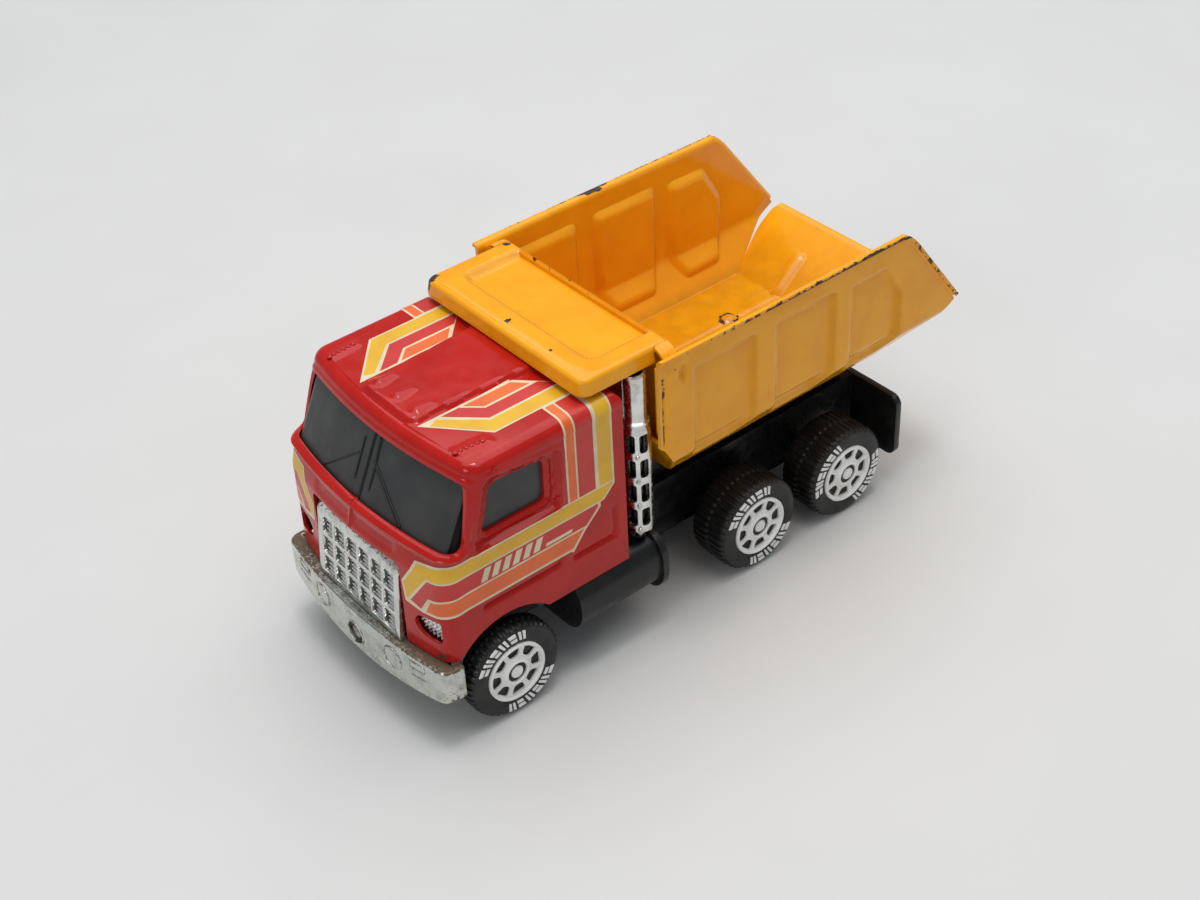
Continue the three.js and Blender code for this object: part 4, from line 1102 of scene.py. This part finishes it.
def tyre(width):
    """A moulded tyre with a smooth sidewall and fine lugs over the tread."""
    outer, inner = SIDEWALL_X, SIDEWALL_X - width
    middle = (outer + inner) / 2
    sidewall = [(7.05, -0.5), (7.1, -0.15), (7.5, -0.05), (8.6, 0), (9.7, -0.05)]
    profile = [(r, outer + x) for r, x in sidewall]
    turn = np.linspace(0.1, 1.5, 9)
    profile += zip(9.9 + 1.25 * np.sin(turn), outer - 0.1 - 1.3 * (1 - np.cos(turn)))
    profile += [(WHEEL_RADIUS, x) for x in np.linspace(outer - 1.7, inner + 1.4, max(8, round(width / 0.45)))]
    turn = np.linspace(1.5, 0.1, 7)
    profile += zip(9.9 + 1.25 * np.sin(turn), inner + 1.3 * (1 - np.cos(turn)))
    profile += [(8.2, inner), (7.05, inner + 0.3)]

    def lugs(r, x, angle):
        lug = (angle / (2 * math.pi) * LUGS + 0.5 * (x < middle)) % 1
        ring = bump(x, middle, 0.5) * (width > 8)
        groove = np.maximum(ease(np.abs(lug - 0.5), 0.22, 0.36), ring)
        return r - 0.42 * ease(r, 10.35, 10.95) * groove, x

    return turned(profile, "x", LUGS * 6, "tyre", lugs)


def sidewall_bar(middle, low, high):
    """One raised bar between two (radius, angle) corners, sheared like slanted print."""
    loops = []
    for x in (SIDEWALL_X - 0.3, SIDEWALL_X + 0.12, SIDEWALL_X + 0.2):
        trim = 0.06 if x > SIDEWALL_X + 0.15 else 0.0
        loop = []
        for r, a in ((low[0], low[1]), (low[0], high[1]), (high[0], high[1]), (high[0], low[1])):
            r += trim if r == low[0] else -trim
            turn = middle + a + 0.03 * (r - 9)
            loop.append((x, r * math.cos(turn), r * math.sin(turn)))
        loops.append(loop)
    faces = grid_faces(3, 4, wrap=True) + [(0, 1, 2, 3), (11, 10, 9, 8)]
    return face_outward(make_object("mark", np.array(loops), faces))


def sidewall_marks():
    """Two arcs of raised white blocks round the sidewall, split upright and across by turns."""
    low, high, half, gap = 8.0, 10.0, 0.092, 0.05
    parts = []
    for start in (52, 232):
        for i in range(6):
            middle = math.radians(start + i * 14.5)
            upright = [((low, -half), (high, -gap / 2)), ((low, gap / 2), (high, half))]
            stacked = [((low, -half), (8.75, half)), ((9.2, -half), (high, half))]
            parts += [sidewall_bar(middle, *bar) for bar in (stacked if i % 2 else upright)]
    return join(parts, "marks")


def hub_face():
    """The white dished disc with eight D-shaped holes and a raised ring in the middle."""
    profile = [
        (6.95, -1.4), (6.95, -0.2), (6.8, 0), (6.45, 0), (6.3, -0.15), (6.2, -0.55), (5.9, -0.75),
        (3.5, -0.62), (3.2, -0.5), (3.0, -0.1), (2.8, 0), (2.5, 0), (2.35, -0.15), (2.3, -1.0), (3.0, -1.05),
        (5.8, -1.1), (6.3, -1.3),
    ]
    disc = turned([(r, HUB_FACE_X + x) for r, x in profile], "x", 64, "hub")
    outline = rounded([(-1.72, 5.95, 0.6), (1.72, 5.95, 0.6), (1.05, 3.75, 0.8), (-1.05, 3.75, 0.8)], 0.5, 4)
    cutters = [prism(outline, "x", HUB_FACE_X - 3, HUB_FACE_X + 2) for _ in range(HUB_HOLES)]
    for i, cutter in enumerate(cutters):
        cutter.data.transform(Matrix.Rotation((i + 0.5) * 2 * math.pi / HUB_HOLES, 4, "X"))
    return combine(disc, cutters)


def hub_backing(width):
    """The dark body of the wheel behind the disc."""
    face, inner = HUB_FACE_X, SIDEWALL_X - width + 0.4
    profile = [
        (0.001, face - 0.5), (2.2, face - 0.5), (2.2, face - 1.2), (6.9, face - 1.2), (6.95, face - 1.5),
        (6.95, inner), (1.6, inner), (1.6, inner + 0.8), (0.001, inner + 0.8),
    ]
    return turned(profile, "x", 48, "backing")


def hub_cap():
    profile = [(0.001, -2.5), (1.45, -2.5), (1.45, -0.35), (1.25, -0.1), (0.001, -0.05)]
    return turned([(r, HUB_FACE_X + x) for r, x in profile], "x", 32, "cap")


def wheels():
    shared = {"marks": sidewall_marks(), "hub": hub_face(), "cap": hub_cap()}
    looks = {
        "tyre": (TYRE, "tyre_plastic", ["_tyre_"]), "backing": (TYRE, "tyre_plastic", []),
        "marks": (WHITE, "white_hub_plastic", []), "cap": (WHITE, "white_hub_plastic", []),
        "hub": (WHITE, "white_hub_plastic", ["_hub_"]),
    }
    for label, (y, width) in AXLES.items():
        own = {"tyre": tyre(width), "backing": hub_backing(width)}
        for side, name in zip(SIDES, SIDE_NAMES):
            spin = WHEEL_SPINS[label] + (90 if side < 0 else 0)
            place = shift(0, y, WHEEL_RADIUS) @ Matrix.Rotation(0 if side > 0 else math.pi, 4, "Z")
            place = place @ Matrix.Rotation(math.radians(spin), 4, "X")
            for part, source in {**shared, **own}.items():
                material, slot, nodes = looks[part]
                piece = add_object(f"{label}_{part}_face_{name}", source.data.copy())
                piece.data.transform(place)
                dress(piece, material, label + "_wheels", [label + node + name for node in nodes])
        for source in own.values():
            bpy.data.objects.remove(source)
    for source in shared.values():
        bpy.data.objects.remove(source)


# ---------- tipping body ----------
TUB_SHEET = 0.8
WALL_X = 29.7
FLOOR_HALF, FLOOR_Z = 22.6, TUB_LOW[2]
CREASE_Z = 42.6
RIM_Z = TUB_HIGH[2] - 1.15
RIM_REAR_Y = 54.9
TAIL_Y, TAIL_Z = TUB_HIGH[1] - 1.15, 45.4
BEND_Y = 54.4
RAMP_TIP = (72.3, 44.6)
WALL_FRONT_Y = -14.4
FLOOR_FRONT_Y = -6.4
CHAMFER = math.hypot(WALL_X - FLOOR_HALF, CREASE_Z - FLOOR_Z)
FLANGE, FLANGE_TURN = 0.9, 0.35
BLISTER = (-9.3, 39.8)
DIMPLE_Y, SLIT_Y = -8.0, -13.2
PANELS = (
    [(-4.9, 31.6), (11.5, 31.6), (11.5, 11.6), (8.4, 5.3), (-2.7, 5.3), (-4.9, 10.2)],
    [(17.5, 31.6), (34.3, 31.6), (34.3, 11.6), (31.2, 5.3), (19.8, 5.3), (17.5, 10.2)],
    [(39.3, 30.6), (49.4, 30.6), (54.3, 22.0), (54.3, 12.2), (51.3, 5.6), (41.5, 5.3), (39.3, 10.2)],
)
PANEL_DEPTH = 1.4
RAMP_RIBS = (-9.4, 0.0, 9.4)


def wall_relief(y, s):
    """The pressings of one side, seen from outside; s is measured up the sheet from the floor's edge."""
    relief = np.zeros(np.shape(y))
    for panel in PANELS:
        relief -= PANEL_DEPTH * ease(-outline_distance(y, s, rounded(panel, 1.0, 4)), -0.6, 1.1)
    dimple = np.hypot((y - DIMPLE_Y) / 1.3, (s - CHAMFER - 20.6) / 2.5)
    relief -= 1.0 * (1 - ease(dimple, 0.15, 1.15))
    slit = segment_distance(y, s, (SLIT_Y, CHAMFER + 4.9), (SLIT_Y, CHAMFER + 21.6))
    return relief - 0.4 * (1 - ease(slit, 0.1, 0.7))


def floor_relief(x, y):
    """Long shallow ribs of the floor that run on up the ramp."""
    height = np.zeros(np.shape(x))
    for middle in RAMP_RIBS:
        rib = 1 - ease(segment_distance(x, y, (middle, -3), (middle, BEND_Y)), 0.35, 0.95)
        tall = 1 - ease(segment_distance(x, y, (middle, BEND_Y + 1.2), (middle, BEND_Y + 9.4)), 0.5, 1.5)
        height += np.maximum(0.22 * rib, 0.85 * tall)
    return height + 0.6 * (1 - ease(np.hypot(x - BLISTER[0], y - BLISTER[1]), 0.6, 2.0))


def section(q):
    """x and z of the tub's section at q along the sheet, measured from the middle of the floor."""
    along = np.abs(q) - FLOOR_HALF
    flat = soft_limit(along, 0.5)
    slope = soft_limit(along - flat - CHAMFER, 1.2)
    upright = along - flat - CHAMFER - slope
    reach = slope + CHAMFER
    x = FLOOR_HALF + flat + reach * (WALL_X - FLOOR_HALF) / CHAMFER
    z = FLOOR_Z + reach * (CREASE_Z - FLOOR_Z) / CHAMFER + upright
    return np.sign(q) * x, z


def front_edge(z):
    return np.interp(z, (FLOOR_Z, 46.7, 47.3), (FLOOR_FRONT_Y, -13.4, WALL_FRONT_Y))


def rear_edge(z):
    heights = (FLOOR_Z, RAMP_TIP[1], TAIL_Z, *(RIM_Z - drop for drop in (2.6, 0.9, 0.2, 0)))
    places = (BEND_Y, RAMP_TIP[0], TAIL_Y, *(RIM_REAR_Y + on for on in (1.8, 0.1, -1.0, -1.7)))
    return np.interp(z, heights, places)


def tub_shell():
    """The floor, chamfers and sides as one pressed sheet: q along it, and its points from front to back."""
    wall = RIM_Z - CREASE_Z + CHAMFER + FLOOR_HALF
    q = np.concatenate([np.linspace(0, FLOOR_HALF, 38, endpoint=False), np.linspace(FLOOR_HALF, wall, 76)])
    q = np.concatenate([-q[:0:-1], q])
    x, z = section(q)
    front, rear = front_edge(z), rear_edge(z)
    points = np.array([np.stack([x, front + t * (rear - front), z], axis=1) for t in np.linspace(0, 1, 150)])
    normal = normals_of(points, wrap=False)
    outward = np.stack([x, 0 * x, z - 60], axis=1)
    normal *= np.sign(np.sum(normal * outward, axis=2))[..., None]
    height = np.abs(q) - FLOOR_HALF + 0 * points[..., 0]
    lift = wall_relief(points[..., 1], height) * ease(height, 1.5, 3)
    floor = floor_relief(points[..., 0], points[..., 1]) * (1 - ease(height, -2, 0))
    points = points + normal * lift[..., None]
    points[..., 2] += floor
    return q, points


def turned_edge():
    """Steps (outwards, onwards) of an edge that turns through a small curve into its flange."""
    angles = np.linspace(0, math.pi / 2, 4)[1:]
    curve = [(FLANGE_TURN * (1 - math.cos(a)), FLANGE_TURN * math.sin(a)) for a in angles]
    return curve + [(FLANGE_TURN + (FLANGE - FLANGE_TURN) * k, FLANGE_TURN) for k in (0.4, 0.8, 1.0)]


def tail_flanges(points):
    """New points and faces behind the rear edges of both sides, which turn outwards too."""
    rows, count, _ = points.shape
    back = np.array([0, RIM_Z - TAIL_Z, TAIL_Y - RIM_REAR_Y])
    back = back / np.linalg.norm(back)
    upper = [i for i in range(count // 2, count) if points[-1, i, 2] > TAIL_Z - 0.2]
    new, faces, base = [], [], rows * count
    for side, indices in ((1, upper), (-1, [count - 1 - i for i in upper])):
        previous = [(rows - 1) * count + i for i in indices]
        for out, on in turned_edge():
            row = points[-1, indices] + np.array([side * out, 0, 0]) + back * on
            row[:, 0] = np.clip(row[:, 0], -WALL_X - FLANGE, WALL_X + FLANGE)
            current = list(range(base, base + len(indices)))
            base += len(indices)
            for k in range(len(indices) - 1):
                quad = (previous[k], previous[k + 1], current[k + 1], current[k])
                faces.append(quad[::side])
            new.append(row)
            previous = current
    return new, faces


def tub():
    q, points = tub_shell()
    rim = [points[:, -1] + np.array([out, 0, up]) for out, up in turned_edge()]
    left = [column * (-1, 1, 1) for column in rim[::-1]]
    ramp = tub_ramp(q, points[-1])
    points = np.concatenate([np.stack(left, axis=1), points, np.stack(rim, axis=1)], axis=1)
    new, faces = tail_flanges(points)
    flat = np.concatenate([points.reshape(-1, 3), *new])
    shell = make_object("tub", flat, grid_faces(*points.shape[:2]) + faces)
    shell = join([shell, ramp], "tipping_tub")
    weld(shell, 0.02)
    face_outward(shell)
    face_as(shell, lambda centre: np.sign(centre) * (1, 0, 0) - (0, 0, 1))
    thicken(shell, TUB_SHEET)
    shell = join([shell, tub_front()], "tipping_tub")
    wear(shell, tub_wear_and_slit_shade)
    wear(shell, tub_painted_shade, "painted_shade")
    dress(shell, ORANGE, "tipping_body", ["bed_tub"], sharp=45)


def tub_ramp(q, edge):
    """The tail ramp, bent up from the rear edge of the floor and free of both sides."""
    start = edge[np.abs(q) <= FLOOR_HALF - 0.3]
    rows = [start]
    for t in np.linspace(0, 1, 34)[1:]:
        y = np.full(len(start), BEND_Y + (RAMP_TIP[0] - BEND_Y) * t)
        z = FLOOR_Z + (RAMP_TIP[1] - FLOOR_Z) * t - 0.25 * bump(t, 0, 0.12)
        widen = 1 + 0.215 * ease(t, -0.15, 0.8) - 0.035 * ease(t, 0.9, 1.02)
        rows.append(np.stack([start[:, 0] * widen, y, z + floor_relief(start[:, 0], y)], axis=1))
    return open_sheet("ramp", [*rows, rows[-1] + (0, 0.25, -0.1)])


def tub_front():
    """The sheet that slopes from the floor up to the bulkhead."""
    x, height = (values[60:] for values in section(np.linspace(0, 60, 200)))
    rows = []
    for z in np.linspace(FLOOR_Z + 0.2, 47.0, 14):
        half = float(np.interp(z, height, x)) - 0.6
        y = float(front_edge(z)) + 0.5
        rows.append([(u, y, z) for u in np.linspace(-half, half, 24)])
    front = face_as(open_sheet("front", rows), np.array([0.0, -1.0, -0.5]))
    return thicken(front, TUB_SHEET)


def tub_wear_and_slit_shade(x, y, z):
    rim = ease(np.abs(x), 30.0, 30.5) * ease(z, RIM_Z - 0.2, RIM_Z + 0.2) * (0.6 + 0.4 * ease(y, -8, 18))
    rim *= 0.50 + 0.32 * (1 - ease(z, RIM_Z + 0.4, RIM_Z + 0.9)) + 0.1 * ease(y, 20, 50) + 0.12 * (x < 0)
    tail = ease(np.abs(x), 29.8, 30.5) * ease(y, 54, 57)
    foot = bump(np.hypot(np.hypot(np.abs(x) - 21.5, y - 55.2), z - FLOOR_Z), 0, 2.6)
    front = 0.3 * bump(y, WALL_FRONT_Y, 0.8)
    gouge = 1.4 * bump(y, 18.0, 5.6) * ease(-x, 29.0, 29.8) * ease(z, RIM_Z - 1.2, RIM_Z - 0.4)
    blister = 0.75 * bump(np.hypot(x - BLISTER[0], y - BLISTER[1]), 2.0, 1.5) * (1 - ease(z, 35.6, 36.2))
    # Painted shade: a dark chipped line along the slit, standing for the gap between the wall's front fold
    # and the bulkhead.
    slit = 1.2 * bump(y, SLIT_Y, 0.55) * ease(z, 47, 48) * (1 - ease(z, 64, 64.6)) * ease(np.abs(x), 29, 29.4)
    return rim + 0.55 * tail + 0.75 * foot + front + gouge + slit + blister


def tub_painted_shade(x, y, z):
    """Painted shade over the floor, and along the rear border of each pressed panel, where the recess is
    shaded.
    """
    floor = 0.5 * (1 - ease(np.abs(x), 22.0, 24.5)) * (1 - ease(z, 36, 46))
    height = np.where(z > CREASE_Z, z - CREASE_Z + CHAMFER, (z - FLOOR_Z) * CHAMFER / (CREASE_Z - FLOOR_Z))
    borders = 0.0 * x
    for panel in PANELS:
        across = [corner[0] for corner in panel]
        border = bump(outline_distance(y, height, rounded(panel, 1.0, 4)), -0.1, 1.0)
        borders = np.maximum(borders, border * ease(y, np.mean(across), max(across)))
    return floor + 0.42 * borders * ease(np.abs(x), 24.0, 26.0)


LID_FRONT_Y, LID_REAR_Y = LID_LOW[1], -8.7
LID_HALF = 26.2
LID_TOP_Z, LID_SKIRT_Z = LID_HIGH[2], 66.0
LID_EDGE, LID_FLARE = 1.1, 0.32
LID_CORNER = 2.6
LID_STEPS = (30, 8, 30)
LID_BACK_STEPS = 68
LID_RECESS = ((-20.6, -24.0), (20.6, -24.0), (20.6, 0), (-20.6, 0))
LID_CHIPS = (
    (-0.9, -27.6, 1.5), (-15.9, -8.8, 1.2), (7.3, -14.6, 0.9), (20.0, -23.9, 0.8), (13.1, -27.8, 0.8),
    (-24.5, -10, 1.6),
)


def lid_loop(z, inset):
    front, rear = LID_FRONT_Y + inset, LID_REAR_Y - inset * 0.15
    plan = half_plan(LID_HALF - inset, front, rear, max(LID_CORNER - inset * 0.6, 0.6), 0, LID_STEPS)
    return closed_loop(plan, LID_BACK_STEPS, z)


def lid_relief(x, y):
    """The middle of the lid is pressed in, open towards the back."""
    pressed = outline_distance(x, y, rounded(LID_RECESS, 2.6))
    crown = 0.25 * bump(y, LID_FRONT_Y + 3.5, 4)
    return -1.25 * ease(-pressed, -0.7, 0.9) + crown * (1 - ease(np.abs(x), 20, 26))


def lid_wear(x, y, z):
    corner = bump(np.hypot(np.hypot(x + 24.9, y + 29.3), (z - 68.6) * 0.8), 0, 3.0)
    rear = 0.4 * bump(y, LID_REAR_Y, 0.7) * bump(x, -8, 12)
    chips = np.max([bump(np.hypot(x - px, y - py), 0, size) for px, py, size in LID_CHIPS], axis=0)
    return corner + rear + 0.75 * chips + 0.2


def lid_painted_shade(x, y, z):
    """Painted shade along the border of the pressed middle, where the recess is shaded."""
    border = outline_distance(x, y, rounded(LID_RECESS, 2.6))
    return 0.3 * bump(border, 0.1, 1.1) * ease(z, 67.5, 68.0)


def bed_lid():
    levels = [(LID_SKIRT_Z, 0.0), (LID_SKIRT_Z + 0.35, -0.02), (67.0, 0.1), (67.8, 0.22)]
    levels.append((LID_TOP_Z - LID_EDGE, LID_FLARE))
    for angle in np.radians(range(12, 91, 13)):
        inset = LID_FLARE + LID_EDGE * (1 - math.cos(angle))
        levels.append((LID_TOP_Z - LID_EDGE * (1 - math.sin(angle)), inset))
    loops = [lid_loop(z, inset) for z, inset in levels]
    lid = capped_skin("cab_guard", loops, loop_corners(LID_STEPS, LID_BACK_STEPS), None, lid_relief)
    thicken(face_as(lid, None), 0.8)
    combine(lid, [block((-FAR, LID_REAR_Y - 3.6, 60), (FAR, 0, 68.2))])
    wear(lid, lid_wear)
    wear(lid, lid_painted_shade, "painted_shade")
    dress(lid, ORANGE, "tipping_body", ["bed_guard"], sharp=45)


BULKHEAD_LOW_Z, BULKHEAD_SHOULDER_Z = 42.5, 66.2


def bulkhead():
    """The upright sheet under the lid, with a flange at each side and three ribs."""
    wide, low, shoulder = WALL_X - 1.35, BULKHEAD_LOW_Z, BULKHEAD_SHOULDER_Z
    left = [(wide - 1.7, low), (wide, low + 2.3), (wide, shoulder), (LID_HALF - 0.6, 68.0)]
    outline = left + [(-x, z) for x, z in left[::-1]]
    outline = outline[-1:] + outline[:-1]
    parts = [prism(outline, "y", -9.6, LID_REAR_Y, "bulkhead")]
    for side in SIDES:
        near, far = side * wide, side * (wide - 0.9)
        parts.append(prism([(near, -13.7), (near, -9.3), (far, -9.3), (far, -13.7)], "z", 50, 66))
    for x in (-15, 0, 15):
        rib = rounded([(x - 1, 46), (x + 1, 46), (x + 1, 64), (x - 1, 64)], 0.9)
        parts.append(prism(rib, "y", -10.2, -9.4))
    body = join(parts, "bulkhead")
    bevel(body, 0.25, 2)
    wear(body, 0.15)
    dress(body, ORANGE, "tipping_body")


def lid_ears():
    """The folded corners between the lid, the bulkhead and the rims."""
    ears = []
    for side in SIDES:
        rows = []
        for t in np.linspace(0, 1, 14):
            x = 25.6 + 4.2 * math.sin(t * math.pi / 2)
            z = LID_TOP_Z - 0.15 - 4.4 * (1 - math.cos(t * math.pi / 2))
            ys = np.linspace(-12.2, LID_REAR_Y, 7)
            rows.append([(side * x, y, z - 0.25 * abs(y + 10.4) * t) for y in ys])
        ear = face_as(open_sheet("ear", rows), np.array([side, 0.0, 1.0]))
        ears.append(thicken(ear, 0.7))
    body = join(ears, "guard_ears")
    wear(body, 0.42)
    dress(body, ORANGE, "tipping_body")


# ---------- moulded pieces taken over from the CAD shape ----------


def refined(node, name, material, body, width, segments=2, angle=30):
    """A copy of a CAD node with its edges rounded."""
    copy = add_object(name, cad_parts[node].data.copy())
    weld(copy, 0.01)
    modifier = copy.modifiers.new("flat", "DECIMATE")
    modifier.decimate_type = "DISSOLVE"
    modifier.angle_limit = math.radians(1)
    bake(copy)
    bevel(copy, width, segments, angle)
    wear(copy, 0.0)
    dress(copy, material, body, [node])


def moulded_pieces():
    refined("chassis", "chassis_moulding", BLACK, "truck", 0.3)
    refined("base_plate", "base_cover", BLACK, "truck", 0.25)
    refined("bed_bracket", "tipping_bracket", BLACK, "tipping_body", 0.25)
    for name in SIDE_NAMES:
        refined("fuel_tank_" + name, "tank_" + name, BLACK, "truck", 0.3, 3, 40)
    steel = {
        "truck": ("bumper_rivet", "base_screw_front", "base_screw_rear"),
        "tipping_body": ("bed_rivet_front", "bed_rivet_rear", "bed_hinge_pin"),
        "front_wheels": ("front_axle",), "mid_wheels": ("mid_axle",), "rear_wheels": ("rear_axle",),
    }
    for body, nodes in steel.items():
        for node in nodes:
            refined(node, node + "_steel", STEEL, body, 0.12, 2, 40)


# ---------- studio ----------
CAMERA_PLACE = Vector((256.38, -204.78, 277.27)) * MM
CAMERA_HEADING, CAMERA_RISE, CAMERA_ROLL = (math.radians(a) for a in (52.33, 37.74, -3.19))
CAMERA_LENS = 56.30
PAPER_TONES = ((0.660, 0.662, 0.650), (0.680, 0.682, 0.672))
PAPER_HALF, PAPER_Z = 3000.0, -0.02
SKY_COLOR, SKY_STRENGTH = (0.93, 0.95, 1.0, 1), 0.31
LIGHTS = (  # name, place, target and size in metres, power in watts
    ("overhead", (-0.14, 0.22, 1.1), (0, 0.02, 0), (1.4, 1.5), 11.0),
    ("glint", (0.02, 0.0, 1.0), (0, 0, 0), (0.2, 0.24), 2.2),
    ("front_fill", (0.32, -1.1, 0.62), (0, 0, 0.03), (0.4, 0.4), 2.0),
)


def camera():
    """The camera of the photograph: heading, rise and roll turn it, and it looks back along its z axis."""
    turn = Matrix.Rotation(CAMERA_HEADING, 3, "Z") @ Matrix.Rotation(math.pi / 2 - CAMERA_RISE, 3, "X")
    turn = turn @ Matrix.Rotation(CAMERA_ROLL, 3, "Z")
    data = bpy.data.cameras.new("camera")
    data.lens = CAMERA_LENS
    data.sensor_width = 36
    data.clip_start = 0.01
    obj = add_object("camera", data)
    obj.matrix_world = Matrix.Translation(CAMERA_PLACE) @ turn.to_4x4()
    bpy.context.scene.camera = obj


def area_light(name, place, target, size, power):
    data = bpy.data.lights.new(name, "AREA")
    data.shape = "RECTANGLE"
    data.size, data.size_y = size
    data.energy = power
    obj = add_object(name, data)
    obj.location = place
    obj.rotation_euler = (Vector(target) - Vector(place)).to_track_quat("-Z", "Y").to_euler()


def studio():
    shader = Shader("paper_sweep", Roughness=0.75)
    tone = shader.mix(shader.band(shader.noise(60, 3), 0.3, 0.7), *PAPER_TONES)
    shader.link(tone, "Base Color")
    shader.link(shader.bump(shader.noise(0.7, 2), 0.01, 0.2), "Normal")
    spots = np.linspace(-PAPER_HALF, PAPER_HALF, 5)
    floor = open_sheet("paper_sweep", [[(x, y, PAPER_Z) for x in spots] for y in spots])
    floor.data.shade_smooth()
    floor.data.materials.append(shader.material)
    world = bpy.data.worlds.new("studio")
    world.use_nodes = True
    background = world.node_tree.nodes["Background"]
    background.inputs["Color"].default_value = SKY_COLOR
    background.inputs["Strength"].default_value = SKY_STRENGTH
    bpy.context.scene.world = world
    for light in LIGHTS:
        area_light(*light)
    bpy.context.scene.view_settings.view_transform = "Standard"


camera()
studio()
cab_shell()
cab_details()
decals()
cab_glazing()
screen_details()
grille()
front_bumper()
bumper_details()
headlamps()
for side_sign, side_name in zip(SIDES, SIDE_NAMES):
    exhaust_stack(side_sign, side_name)
wheels()
tub()
bed_lid()
bulkhead()
lid_ears()
moulded_pieces()
